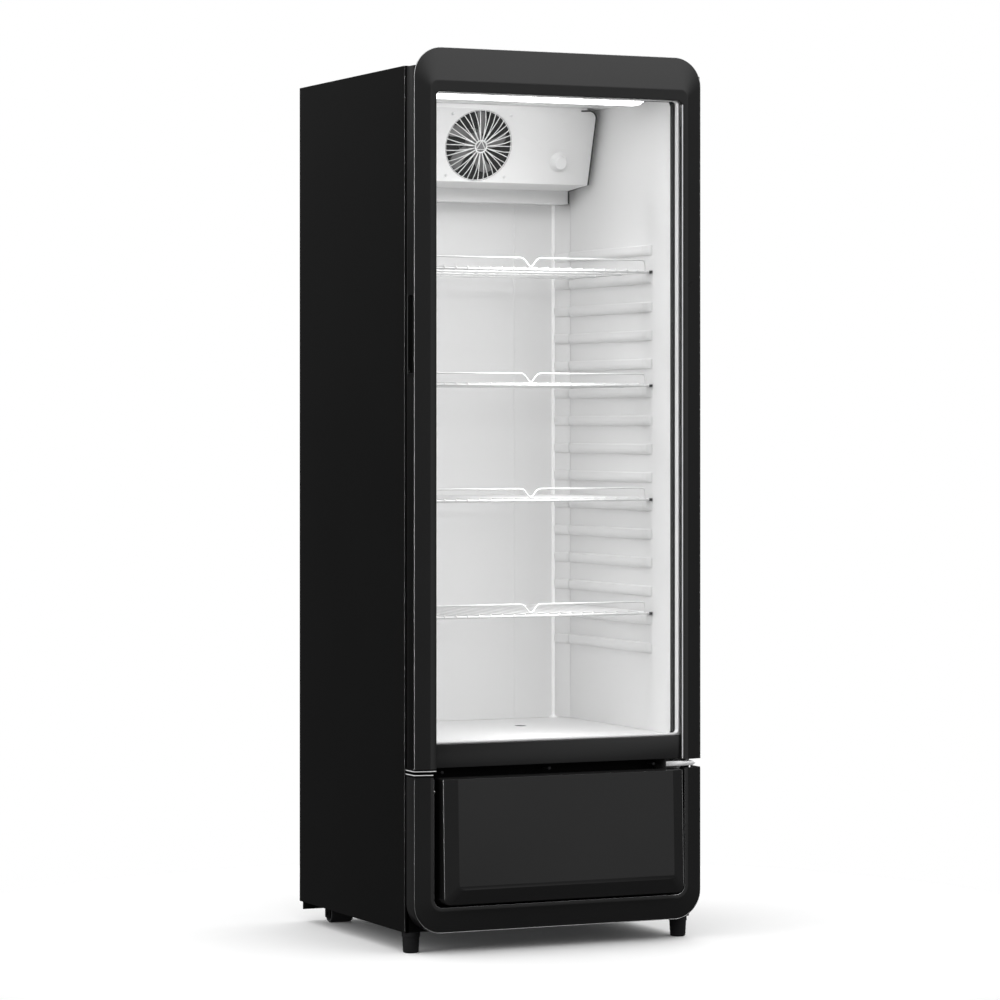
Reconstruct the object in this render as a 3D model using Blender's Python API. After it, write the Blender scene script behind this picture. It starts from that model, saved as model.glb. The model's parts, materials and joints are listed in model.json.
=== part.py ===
"""Upright glass door merchandiser: a black display fridge with one hinged glass door.

Metres, +Z up.  The door faces -Y, +X is to the right of a person facing the door.  The origin is
on the floor, under the middle of the bounding box.  Depths are given as v: the distance behind
the cabinet's front plane, negative in front of it.
"""
import math

import bmesh
import bpy
from mathutils import Matrix, Vector

# ---- driving dimensions -------------------------------------------------------------------------
WIDTH = 0.650
HEIGHT = 1.8365                      # floor to the top of the door's front trim
CABINET_DEPTH = 0.575
PANEL_PROUD = 0.092                  # the lower front panel stands this far in front of the cabinet
CABINET_TOP = 1.801
CABINET_BOTTOM = 0.0425
GAP = 0.0003                         # between pieces that touch
CORNER_STEPS = 8                     # chords in each corner of the door and lower trims
SHEET = 0.0008                       # painted steel panels
LINER = 0.0015                       # moulded liner walls

HALF = WIDTH / 2
FACE_Y = PANEL_PROUD - (CABINET_DEPTH + PANEL_PROUD) / 2

# inside of the cabinet
CAVITY_HALF = 0.282
CAVITY_FLOOR = 0.4253
CAVITY_CEILING = 1.757
CAVITY_BACK = 0.520                  # v of the rear liner wall
FRAME_THICK = 0.003                  # the cabinet's front flange
LINER_FRONT = FRAME_THICK + 0.0005
DECK_BOTTOM = 0.378                  # underside of the insulated floor

# shelf ribs and shelves
RIB_COUNT = 15
RIB_PITCH = 0.06015
TOP_RIB_Z = 1.442
RIB_HEIGHT = 0.022
RIB_PROUD = 0.010
RIB_FRONT = 0.097
RIB_BACK = 0.480
SHELF_RIBS = (1, 5, 9, 13)           # ribs that carry a shelf, counted from the top
CORNER_START = 0.485
CORNER_HALF = 0.258                  # x of the rear corner posts' inner edge
SHELF_HALF = 0.276
SHELF_FRONT = 0.090
SHELF_BACK = 0.468
ROD_RADIUS = 0.0025
WIRE_RADIUS = 0.00125
WIRE_COUNT = 20
SHELF_BAYS = 3                       # lengths between the cross rods
FENCE_RADIUS = 0.0015
FENCE_HEIGHT = 0.025

# evaporator unit: its front face leans back as it goes down
EVAP_HALF = 0.262
EVAP_TOP_V = 0.312
EVAP_TOP_Z = 1.7515
EVAP_FOLD_V = 0.358
EVAP_FOLD_Z = 1.594
EVAP_TRAY_V = 0.456
EVAP_TRAY_Z = 1.558
EVAP_SHEET = 0.0015
EVAP_TILT = math.atan2(EVAP_FOLD_V - EVAP_TOP_V, EVAP_TOP_Z - EVAP_FOLD_Z)
EVAP_BACK = CAVITY_BACK - 0.0005
EVAP_FAN_X = -0.008
EVAP_FAN_Z = 1.671
EVAP_FAN_RADIUS = 0.0780             # hole in the cover
KNOB_X = 0.184
KNOB_Z = 1.642

# door
DOOR_BACK = -0.0103                  # v of the door's rear face, the gasket fills the gap
DOOR_BODY_FRONT = -0.0475
TRIM_BACK = -0.0478
TRIM_EDGE = -0.0501
TRIM_CREST = -0.0576
GLASS_FRONT = -0.0445
PANE = 0.004
SPACER = 0.016
DOOR_BOTTOM = 0.377
DOOR_BODY_TOP = 1.7985
TRIM_RADIUS = 0.060
CHAMFER_SIDE = 0.033
CREST_SIDE = 0.0467
CHAMFER_TOP = 0.068
CREST_TOP = 0.0895
BAR_WIDTH = 0.042                    # door frame bars, from the door's outer edge
RAIL_TOP = 0.426
OPENING_TOP = HEIGHT - CREST_TOP

# door hinge
PIN_X = HALF - 0.022
PIN_V = -0.030
PIN_RADIUS = 0.004
BUSH_RADIUS = 0.0067
BUSH_LENGTH = 0.026

# recessed pull in the door's left edge
PULL_LOW = 1.177
PULL_HIGH = 1.335
PULL_FRONT = -0.0435
PULL_REAR = -0.0200
PULL_DEPTH = 0.020
PULL_WALL = 0.002

# lower front
LOWER_TOP = 0.3597
LOWER_BOTTOM = 0.0445
LOWER_CHAMFER = 0.0442
LOWER_CREST = 0.0514
PANEL_HALF = 0.271
PANEL_LOW = 0.1035
PANEL_HIGH = 0.3575
PANEL_CHAMFER = 0.0265
PANEL_CHAMFER_LOW = 0.0295
PANEL_RIM_V = -0.030
PANEL_WALL = 0.003
PANEL_LEAN = 0.008                   # how far the face leans out at its foot
PANEL_BEVEL = 0.012                  # how far the rim stands back from the face

# feet and rollers
FOOT_X = 0.305
FOOT_V = 0.014
FOOT_TOP_RADIUS = 0.019
FOOT_BOTTOM_RADIUS = 0.016
ROLLER_RADIUS = 0.0195
ROLLER_X = 0.255
ROLLER_LENGTH = 0.050
ROLLER_V = 0.518
BASE_SHEET = 0.0015

# machine compartment
CONDENSER_X = -0.080
CONDENSER_V = 0.086
AXLE_RADIUS = 0.004

MATERIALS = {
    # name: (colour, roughness, metallic)
    "black_enamel": ((0.011, 0.011, 0.012), 0.35, 0.0),
    "black_plastic": ((0.018, 0.018, 0.019), 0.40, 0.0),
    "dark_rubber": ((0.015, 0.015, 0.016), 0.75, 0.0),
    "white_liner": ((0.80, 0.80, 0.81), 0.40, 0.0),
    "white_wire": ((0.85, 0.85, 0.86), 0.35, 0.0),
    "foam": ((0.80, 0.72, 0.48), 0.90, 0.0),
    "clear_glass": ((0.90, 0.95, 0.94), 0.02, 0.0),
    "bright_metal": ((0.62, 0.62, 0.63), 0.30, 1.0),
    "diffuser": ((0.95, 0.96, 1.00), 0.50, 0.0),
    "grey_plastic": ((0.10, 0.10, 0.11), 0.50, 0.0),
    "galvanised": ((0.45, 0.46, 0.47), 0.45, 1.0),
}


# ---- helpers ------------------------------------------------------------------------------------
def depth(v):
    """World Y of a point v behind the cabinet's front plane."""
    return FACE_Y + v


def clear_scene():
    for item in list(bpy.data.objects):
        bpy.data.objects.remove(item, do_unlink=True)


def new_collection(name):
    collection = bpy.data.collections.new(name)
    bpy.context.scene.collection.children.link(collection)
    return collection


def make_materials():
    for name, (colour, roughness, metallic) in MATERIALS.items():
        material = bpy.data.materials.new(name)
        material.use_nodes = True
        shader = material.node_tree.nodes["Principled BSDF"]
        shader.inputs["Base Color"].default_value = (*colour, 1.0)
        shader.inputs["Roughness"].default_value = roughness
        shader.inputs["Metallic"].default_value = metallic
        material.diffuse_color = (*colour, 1.0)


def add_object(name, mesh, material, matrix=None, round_piece=False):
    """A sub-part: one named object with its own material."""
    item = bpy.data.objects.new(name, mesh)
    parts.objects.link(item)
    if not mesh.materials:
        mesh.materials.append(bpy.data.materials[material])
    if matrix is not None:
        item.matrix_world = matrix
    if round_piece:
        mesh.shade_smooth()
        mesh.set_sharp_from_angle(angle=math.radians(35))
    return item


def add_cutter(name, mesh, matrix=None):
    item = bpy.data.objects.new(name, mesh)
    cutters.objects.link(item)
    item.hide_render = True
    item.display_type = "WIRE"
    if matrix is not None:
        item.matrix_world = matrix
    return item


def mesh_from(bm, name):
    mesh = bpy.data.meshes.new(name)
    bm.to_mesh(mesh)
    bm.free()
    return mesh


def add_box(bm, low, high):
    size = [b - a for a, b in zip(low, high)]
    middle = [(a + b) / 2 for a, b in zip(low, high)]
    matrix = Matrix.Translation(middle) @ Matrix.Diagonal((*size, 1.0))
    bmesh.ops.create_cube(bm, size=1.0, matrix=matrix)


def box_mesh(name, *corners):
    """Boxes given as (low, high) corner pairs, with v in place of Y."""
    bm = bmesh.new()
    for low, high in corners:
        add_box(bm, (low[0], depth(low[1]), low[2]), (high[0], depth(high[1]), high[2]))
    return mesh_from(bm, name)


def add_rod(bm, start, end, radius, sides=8):
    """A round bar between two points."""
    start = Vector(start)
    end = Vector(end)
    span = end - start
    turn = span.to_track_quat("Z", "Y").to_matrix().to_4x4()
    matrix = Matrix.Translation((start + end) / 2) @ turn
    bmesh.ops.create_cone(bm, cap_ends=True, segments=sides, radius1=radius, radius2=radius,
                          depth=span.length, matrix=matrix)


def rod_mesh(name, *rods, sides=8):
    bm = bmesh.new()
    for start, end, radius in rods:
        add_rod(bm, start, end, radius, sides)
    return mesh_from(bm, name)


def solid_from_curve(name, curve):
    """The closed mesh that a curve makes, with its caps welded on."""
    item = bpy.data.objects.new(name + "_curve", curve)
    cutters.objects.link(item)
    bpy.context.view_layer.update()
    evaluated = item.evaluated_get(bpy.context.evaluated_depsgraph_get())
    mesh = bpy.data.meshes.new_from_object(evaluated)
    bpy.data.objects.remove(item, do_unlink=True)
    bpy.data.curves.remove(curve)
    bm = bmesh.new()
    bm.from_mesh(mesh)
    bpy.data.meshes.remove(mesh)
    bmesh.ops.remove_doubles(bm, verts=bm.verts, dist=0.00002)
    bmesh.ops.recalc_face_normals(bm, faces=bm.faces)
    return mesh_from(bm, name)


def plate_mesh(name, outlines, thickness):
    """A flat plate in XY, centred on Z = 0: the first outline is its edge, the others are holes."""
    curve = bpy.data.curves.new(name, "CURVE")
    curve.dimensions = "2D"
    curve.fill_mode = "BOTH"
    curve.extrude = thickness / 2
    for outline in outlines:
        spline = curve.splines.new("POLY")
        spline.points.add(len(outline) - 1)
        for point, (x, y) in zip(spline.points, outline):
            point.co = (x, y, 0.0, 1.0)
        spline.use_cyclic_u = True
    return solid_from_curve(name, curve)


def tube_mesh(name, points, radius):
    curve = bpy.data.curves.new(name, "CURVE")
    curve.dimensions = "3D"
    curve.bevel_depth = radius
    curve.bevel_resolution = 1
    curve.use_fill_caps = True
    spline = curve.splines.new("POLY")
    spline.points.add(len(points) - 1)
    for point, place in zip(spline.points, points):
        point.co = (*place, 1.0)
    return solid_from_curve(name, curve)


def turned_mesh(name, profile, steps=20):
    """A solid of revolution about Z: profile is a list of (radius, z), closed on itself."""
    bm = bmesh.new()
    rings = []
    for step in range(steps):
        angle = 2 * math.pi * step / steps
        ring = [(r * math.cos(angle), r * math.sin(angle), z) for r, z in profile]
        rings.append(ring)
    add_loft(bm, rings, closed=True)
    bmesh.ops.remove_doubles(bm, verts=bm.verts, dist=0.00001)
    bmesh.ops.dissolve_degenerate(bm, edges=bm.edges, dist=0.00001)
    bmesh.ops.recalc_face_normals(bm, faces=bm.faces)
    return mesh_from(bm, name)


def add_loft(bm, rings, closed=False):
    """Skin a row of equal rings; an open row gets an end cap at each end."""
    loops = [[bm.verts.new(place) for place in ring] for ring in rings]
    count = len(loops[0])
    pairs = list(zip(loops, loops[1:]))
    if closed:
        pairs.append((loops[-1], loops[0]))
    for first, second in pairs:
        for k in range(count):
            n = (k + 1) % count
            bm.faces.new((first[k], first[n], second[n], second[k]))
    if not closed:
        bm.faces.new(loops[0])
        bm.faces.new(loops[-1])


def arc(cx, cy, radius, start, end, steps):
    """Points on an arc, angles in degrees."""
    angles = [math.radians(start + (end - start) * k / steps) for k in range(steps + 1)]
    return [(cx + radius * math.cos(a), cy + radius * math.sin(a)) for a in angles]


def rounded_outline(x0, x1, y0, y1, radius, steps=3):
    """A rectangle with four rounded corners, counter-clockwise."""
    outline = arc(x1 - radius, y0 + radius, radius, -90, 0, steps)
    outline += arc(x1 - radius, y1 - radius, radius, 0, 90, steps)
    outline += arc(x0 + radius, y1 - radius, radius, 90, 180, steps)
    outline += arc(x0 + radius, y0 + radius, radius, 180, 270, steps)
    return outline


def box_outline(x0, x1, y0, y1):
    return [(x0, y0), (x1, y0), (x1, y1), (x0, y1)]


def boolean(item, other, operation="DIFFERENCE", solver="EXACT"):
    modifier = item.modifiers.new(operation.lower(), "BOOLEAN")
    modifier.operation = operation
    modifier.solver = solver
    modifier.object = other
    return modifier


def join(item, *meshes):
    """Unites an object with solids that overlap it."""
    for number, mesh in enumerate(meshes):
        cutter = add_cutter(f"{item.name}_piece_{number}", mesh)
        boolean(item, cutter, "UNION")


def facing_front(x, v, z, tilt=0.0):
    """Stands a plate drawn in XY up in the XZ plane at a point; tilt leans its face downwards."""
    turn = Matrix.Rotation(math.pi / 2 + tilt, 4, "X")
    return Matrix.Translation((x, depth(v), z)) @ turn


def u_path(half_width, end_z, crown_z, radius):
    """An arch from the left leg's end, over two round corners, to the right leg's end."""
    rise = 1 if crown_z > end_z else -1
    centre_z = crown_z - rise * radius
    left = [(-half_width, end_z)]
    for k in range(CORNER_STEPS + 1):
        angle = math.radians(180 - 90 * k / CORNER_STEPS)
        x = -half_width + radius + radius * math.cos(angle)
        left.append((x, centre_z + rise * radius * math.sin(angle)))
    right = [(-x, z) for x, z in reversed(left)]
    return left + right


def u_trim_mesh(name, profile, end_z, crown_z):
    """A U of trim.  Each profile entry is (side inset, crown inset, corner radius, v)."""
    rise = 1 if crown_z > end_z else -1
    paths = []
    for side, crown, radius, v in profile:
        path = u_path(HALF - side, end_z, crown_z - rise * crown, radius)
        paths.append([(x, depth(v), z) for x, z in path])
    rings = [list(ring) for ring in zip(*paths)]
    bm = bmesh.new()
    add_loft(bm, rings)
    bmesh.ops.triangulate(bm, faces=bm.faces)
    bmesh.ops.recalc_face_normals(bm, faces=bm.faces)
    return mesh_from(bm, name)


def comb_outline(width, height, base, teeth, tooth):
    """Side view of a fin pack: thin fins standing on a solid base."""
    pitch = (width - tooth) / (teeth - 1)
    outline = [(-width / 2, 0.0), (width / 2, 0.0)]
    for k in range(teeth):
        right = width / 2 - k * pitch
        left = right - tooth
        outline.append((right, height))
        outline.append((left, height))
        if k < teeth - 1:
            outline.append((left, base))
            outline.append((left - pitch + tooth, base))
    return outline


def fan_object(name, hub_radius, hub_depth, tip_radius, chord, blades, pitch, matrix):
    """An axial fan: hub and blades in one body, turning about its own Z."""
    bm = bmesh.new()
    bmesh.ops.create_cone(bm, cap_ends=True, segments=20, radius1=hub_radius,
                          radius2=hub_radius * 0.9, depth=hub_depth)
    hub = mesh_from(bm, name)
    item = add_object(name, hub, "grey_plastic", matrix)
    bm = bmesh.new()
    reach = tip_radius - hub_radius * 0.6
    for k in range(blades):
        turn = Matrix.Rotation(2 * math.pi * k / blades, 4, "Z")
        lean = Matrix.Rotation(pitch, 4, "X")
        place = Matrix.Translation((hub_radius * 0.6 + reach / 2, 0.0, 0.0))
        size = Matrix.Diagonal((reach, chord, 0.0016, 1.0))
        bmesh.ops.create_cube(bm, size=1.0, matrix=turn @ place @ lean @ size)
    vanes = add_cutter(name + "_vanes", mesh_from(bm, name + "_vanes"), matrix)
    boolean(item, vanes, "UNION")
    return item


def spoked_disc(name, radius, rim, hub_radius, spokes, spoke_width, thickness):
    """A flat guard: rim, hub and radial bars, cut from one disc."""
    outlines = [arc(0, 0, radius, 0, 350, 35)]
    inner = radius - rim
    for k in range(spokes):
        start = 360 * k / spokes
        end = start + 360 / spokes
        far = math.degrees(spoke_width / 2 / inner)
        near = math.degrees(spoke_width / 2 / hub_radius)
        window = arc(0, 0, inner, start + far, end - far, 3)
        window += arc(0, 0, hub_radius, end - near, start + near, 1)
        outlines.append(window)
    return plate_mesh(name, outlines, thickness)


# ---- cabinet shell ------------------------------------------------------------------------------
def make_shell():
    edge = HALF - SHEET - GAP
    for name, outer, inner in (("left_side_panel", -HALF, SHEET - HALF),
                               ("right_side_panel", HALF - SHEET, HALF)):
        low = (outer, 0.0, CABINET_BOTTOM)
        high = (inner, CABINET_DEPTH, CABINET_TOP)
        add_object(name, box_mesh(name, (low, high)), "black_enamel")
    top = box_mesh("top_panel", ((-edge, 0.0, CABINET_TOP - SHEET), (edge, CABINET_DEPTH, CABINET_TOP)))
    add_object("top_panel", top, "black_enamel")
    below_top = CABINET_TOP - SHEET - GAP
    back = ((-edge, CABINET_DEPTH - SHEET, DECK_BOTTOM), (edge, CABINET_DEPTH, below_top))
    add_object("back_panel", box_mesh("back_panel", back), "black_enamel")
    # the front flange: one pressed frame, with a large window over a sill and a lower opening
    outlines = [box_outline(-edge, edge, CABINET_BOTTOM, below_top),
                box_outline(-CAVITY_HALF, CAVITY_HALF, CAVITY_FLOOR, CAVITY_CEILING),
                box_outline(-CAVITY_HALF, CAVITY_HALF, 0.130, 0.345)]
    mesh = plate_mesh("face_frame", outlines, FRAME_THICK)
    add_object("face_frame", mesh, "black_enamel", facing_front(0.0, FRAME_THICK / 2, 0.0))


def make_insulation():
    edge = HALF - SHEET - GAP
    outer = ((-edge, LINER_FRONT, DECK_BOTTOM + GAP),
             (edge, CABINET_DEPTH - SHEET - GAP, CABINET_TOP - SHEET - GAP))
    foam = add_object("foam_insulation", box_mesh("foam_insulation", outer), "foam")
    wall = LINER + GAP
    hollow = ((-CAVITY_HALF - wall, -0.01, CAVITY_FLOOR - wall),
              (CAVITY_HALF + wall, CAVITY_BACK + wall, CAVITY_CEILING + wall))
    boolean(foam, add_cutter("foam_hollow", box_mesh("foam_hollow", hollow)))


def make_liner():
    front = LINER_FRONT
    low = CAVITY_FLOOR + GAP
    high = CAVITY_CEILING - GAP
    wide = CAVITY_HALF + LINER
    for name, side in (("liner_left_wall", -1), ("liner_right_wall", 1)):
        x0, x1 = sorted((side * wide, side * CAVITY_HALF))
        wall = box_mesh(name, ((x0, front, low), (x1, CAVITY_BACK - GAP, high)))
        join(add_object(name, wall, "white_liner"), rib_mesh(side))
    back = ((-wide, CAVITY_BACK, low), (wide, CAVITY_BACK + LINER, high))
    add_object("liner_back_wall", box_mesh("liner_back_wall", back), "white_liner")
    floor = ((-wide, front, CAVITY_FLOOR - LINER), (wide, CAVITY_BACK + LINER, CAVITY_FLOOR))
    add_object("liner_floor", box_mesh("liner_floor", floor), "white_liner")
    ceiling = ((-wide, front, CAVITY_CEILING), (wide, CAVITY_BACK + LINER, CAVITY_CEILING + LINER))
    add_object("liner_ceiling", box_mesh("liner_ceiling", ceiling), "white_liner")


def rib_z(index):
    return TOP_RIB_Z - RIB_PITCH * index


def rib_mesh(side):
    """The rails moulded in a side wall: flat-topped ridges with a rounded underside."""
    root = CAVITY_HALF + LINER / 2
    nose = CAVITY_HALF - RIB_PROUD
    half = RIB_HEIGHT / 2
    section = [(root, -half), (root, half), (nose + 0.0012, half), (nose + 0.0003, half - 0.0012),
               (nose, half - 0.0035), (nose, -half + 0.0105), (nose + 0.0008, -half + 0.0065),
               (nose + 0.0026, -half + 0.0032), (nose + 0.0054, -half + 0.0010)]
    bm = bmesh.new()
    for index in range(RIB_COUNT):
        z = rib_z(index)
        rings = []
        for v, share in ((RIB_FRONT - 0.010, 0.22), (RIB_FRONT + 0.004, 0.75), (RIB_FRONT + 0.018, 1.0),
                         (RIB_BACK - 0.006, 1.0), (RIB_BACK, 0.6)):
            rings.append([(side * (root - (root - x) * share), depth(v), z + h) for x, h in section])
        add_loft(bm, rings)
    bmesh.ops.triangulate(bm, faces=bm.faces)
    bmesh.ops.recalc_face_normals(bm, faces=bm.faces)
    return mesh_from(bm, "ribs")


def make_corner_posts():
    """Slanted covers in the two rear corners, from the floor to the evaporator's tray."""
    edge = CAVITY_HALF - GAP
    back = CAVITY_BACK - GAP
    corner = [(edge, depth(CORNER_START)), (edge, depth(back)), (CORNER_HALF, depth(back))]
    for name, side in (("left_corner_post", -1), ("right_corner_post", 1)):
        bm = bmesh.new()
        low = [(side * x, y, CAVITY_FLOOR + GAP) for x, y in corner]
        high = [(side * x, y, EVAP_TRAY_Z - GAP) for x, y in corner]
        add_loft(bm, [low, high])
        bmesh.ops.recalc_face_normals(bm, faces=bm.faces)
        add_object(name, mesh_from(bm, name), "white_liner")


def make_light():
    """A light bar under the front of the ceiling: a housing and a diffuser with sloping ends."""
    half = 0.237
    housing = ((-half, 0.034, 1.7515), (half, 0.074, CAVITY_CEILING - GAP))
    add_object("light_housing", box_mesh("light_housing", housing), "white_liner")
    top = 1.7515 - GAP
    low = 1.7435
    outline = [(-half, top), (-half + 0.010, low), (half - 0.010, low), (half, top)]
    mesh = plate_mesh("light_diffuser", [outline], 0.036)
    add_object("light_diffuser", mesh, "diffuser", facing_front(0.0, 0.054, 0.0))


# ---- evaporator unit ----------------------------------------------------------------------------
def evap_face_v(z):
    """v of the cover's front face at a height."""
    share = (EVAP_TOP_Z - z) / (EVAP_TOP_Z - EVAP_FOLD_Z)
    return EVAP_TOP_V + share * (EVAP_FOLD_V - EVAP_TOP_V)


def face_matrix(x, z, behind):
    """A frame on the sloping face whose Z points out of it, set back by a distance."""
    frame = facing_front(x, evap_face_v(z), z, EVAP_TILT)
    return frame @ Matrix.Translation((0.0, 0.0, -behind))


def make_evaporator():
    # cover: the shape seen from the front, trimmed by the shape seen from the side
    top = EVAP_TOP_Z
    radius = 0.018
    front = [(-EVAP_HALF, EVAP_FOLD_Z), (EVAP_HALF, EVAP_FOLD_Z)]
    front += arc(EVAP_HALF - radius, top - radius, radius, 0, 90, 4)
    front += arc(-EVAP_HALF + radius, top - radius, radius, 90, 180, 4)
    mesh = plate_mesh("evaporator_cover", [front], 0.30)
    cover = add_object("evaporator_cover", mesh, "white_liner", facing_front(0.0, 0.40, 0.0))
    side = [(EVAP_TOP_V, top + 0.01), (EVAP_FOLD_V, EVAP_FOLD_Z - 0.0001),
            (EVAP_BACK, EVAP_FOLD_Z - 0.0001), (EVAP_BACK, top + 0.01)]
    side[0] = (EVAP_TOP_V - 0.01 * math.tan(EVAP_TILT), top + 0.01)
    boolean(cover, side_prism("cover_side", side, EVAP_HALF + 0.01), "INTERSECT")
    skin = EVAP_SHEET
    slope = skin / math.cos(EVAP_TILT)
    inner = [(side[0][0] + slope, top + 0.01),
             (EVAP_FOLD_V + slope - skin * math.tan(EVAP_TILT), EVAP_FOLD_Z + skin),
             (EVAP_TRAY_V, EVAP_FOLD_Z + skin), (EVAP_TRAY_V, EVAP_FOLD_Z - 0.01),
             (EVAP_BACK + 0.01, EVAP_FOLD_Z - 0.01), (EVAP_BACK + 0.01, top + 0.01)]
    boolean(cover, side_prism("cover_hollow", inner, EVAP_HALF - skin))
    bm = bmesh.new()
    bmesh.ops.create_cone(bm, cap_ends=True, segments=36, radius1=EVAP_FAN_RADIUS,
                          radius2=EVAP_FAN_RADIUS, depth=0.03)
    hole = add_cutter("fan_hole", mesh_from(bm, "fan_hole"), face_matrix(EVAP_FAN_X, EVAP_FAN_Z, 0.0))
    boolean(cover, hole)

    guard = spoked_disc("evaporator_fan_guard", EVAP_FAN_RADIUS - GAP, 0.0025, 0.016, 12, 0.003, skin)
    matrix = face_matrix(EVAP_FAN_X, EVAP_FAN_Z, skin / 2)
    add_object("evaporator_fan_guard", guard, "white_wire", matrix)
    fan_object("evaporator_fan_blade", 0.020, 0.016, 0.070, 0.036, 5, math.radians(28),
               face_matrix(EVAP_FAN_X, EVAP_FAN_Z, 0.018))
    # motor with the flat strap that carries it
    place = face_matrix(EVAP_FAN_X, EVAP_FAN_Z, 0.0)
    bm = bmesh.new()
    bmesh.ops.create_cone(bm, cap_ends=True, segments=20, radius1=0.024, radius2=0.026, depth=0.036,
                          matrix=Matrix.Translation((0.0, 0.0, -0.048)))
    motor = add_object("evaporator_fan_motor", mesh_from(bm, "evaporator_fan_motor"), "grey_plastic", place)
    bm = bmesh.new()
    add_box(bm, (-0.100, -0.009, -0.0670), (0.100, 0.009, -0.0645))
    strap = mesh_from(bm, "strap")
    strap.transform(place)
    join(motor, strap)

    fins = plate_mesh("evaporator_coil", [comb_outline(0.45, 0.150, 0.010, 24, 0.004)], 0.070)
    add_object("evaporator_coil", fins, "bright_metal", facing_front(0.0, 0.478, 1.598))

    # shallow tray under the coil
    low = (-EVAP_HALF, EVAP_TRAY_V, EVAP_TRAY_Z)
    high = (EVAP_HALF, EVAP_BACK, EVAP_FOLD_Z - GAP)
    tray = add_object("evaporator_drip_tray", box_mesh("evaporator_drip_tray", (low, high)), "white_liner")
    wall = 0.002
    hollow = ((low[0] + wall, low[1] + wall, low[2] + wall),
              (high[0] - wall, high[1] - wall, high[2] + 0.01))
    boolean(tray, add_cutter("drip_tray_hollow", box_mesh("drip_tray_hollow", hollow)))


def side_prism(name, outline, half):
    """A solid of one side view (v, z), as wide as the given half width each way."""
    bm = bmesh.new()
    rings = [[(x, depth(v), z) for v, z in outline] for x in (-half, half)]
    add_loft(bm, rings)
    bmesh.ops.recalc_face_normals(bm, faces=bm.faces)
    return add_cutter(name, mesh_from(bm, name))


def make_thermostat():
    profile = [(0.0, GAP), (0.0175, GAP), (0.0175, 0.006), (0.0155, 0.013), (0.0, 0.013)]
    knob = turned_mesh("thermostat_knob", profile, 24)
    add_object("thermostat_knob", knob, "white_liner", face_matrix(KNOB_X, KNOB_Z, 0.0), True)
    bm = bmesh.new()
    add_box(bm, (-0.026, -0.018, -0.034), (0.026, 0.018, -EVAP_SHEET - GAP))
    body = mesh_from(bm, "thermostat_body")
    add_object("thermostat_body", body, "grey_plastic", face_matrix(KNOB_X, KNOB_Z, 0.0))


# ---- shelves ------------------------------------------------------------------------------------
def shelf_mesh():
    """A wire shelf in plan, about the level of its rods: a grid of windows between the wires."""
    front = depth(SHELF_FRONT)
    back = depth(SHELF_BACK)
    rods = [front + (back - front) * k / SHELF_BAYS for k in range(SHELF_BAYS + 1)]
    wires = [-SHELF_HALF + 2 * SHELF_HALF * k / (WIRE_COUNT + 1) for k in range(WIRE_COUNT + 2)]
    outlines = [box_outline(wires[0] - ROD_RADIUS, wires[-1] + ROD_RADIUS,
                            front - ROD_RADIUS, back + ROD_RADIUS)]
    for y0, y1 in zip(rods, rods[1:]):
        for x0, x1 in zip(wires, wires[1:]):
            left = ROD_RADIUS if x0 == wires[0] else WIRE_RADIUS
            right = ROD_RADIUS if x1 == wires[-1] else WIRE_RADIUS
            outlines.append(box_outline(x0 + left, x1 - right, y0 + ROD_RADIUS, y1 - ROD_RADIUS))
    return plate_mesh("shelf", outlines, 2 * ROD_RADIUS)


def fence_mesh():
    """The bent wire along a shelf's front edge, with its V in the middle."""
    front = depth(SHELF_FRONT)
    end = 0.266
    dip = 0.017
    route = [(-end, 0.0), (-end, FENCE_HEIGHT), (-dip, FENCE_HEIGHT), (0.0, 0.006),
             (dip, FENCE_HEIGHT), (end, FENCE_HEIGHT), (end, 0.0)]
    return tube_mesh("shelf_fence", [(x, front, z) for x, z in route], FENCE_RADIUS)


def make_shelves():
    mesh = shelf_mesh()
    wire = fence_mesh()
    for number, rib in enumerate(SHELF_RIBS, start=1):
        z = rib_z(rib) + RIB_HEIGHT / 2 + GAP + ROD_RADIUS
        name = f"shelf_{number}"
        shelf = add_object(name, mesh, "white_wire", Matrix.Translation((0.0, 0.0, z)))
        fence = add_cutter(f"fence_{number}", wire, shelf.matrix_world)
        boolean(shelf, fence, "UNION", "MANIFOLD")


# ---- door ---------------------------------------------------------------------------------------
def make_door_trim():
    lip = 0.0005
    profile = [
        (0.0, 0.0, TRIM_RADIUS, TRIM_BACK),
        (0.0, 0.0, TRIM_RADIUS, TRIM_EDGE),
        (CHAMFER_SIDE, CHAMFER_TOP, 0.016, TRIM_CREST),
        (CREST_SIDE, CREST_TOP, 0.010, TRIM_CREST),
        (CREST_SIDE + lip, CREST_TOP + lip, 0.0095, GLASS_FRONT - GAP),
        (BAR_WIDTH + GAP, CREST_TOP - 0.0022, 0.0105, GLASS_FRONT - GAP),
        (BAR_WIDTH + GAP, CREST_TOP - 0.0022, 0.0105, TRIM_BACK),
    ]
    mesh = u_trim_mesh("door_trim", profile, DOOR_BOTTOM, HEIGHT)
    add_object("door_trim", mesh, "black_plastic")


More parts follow.
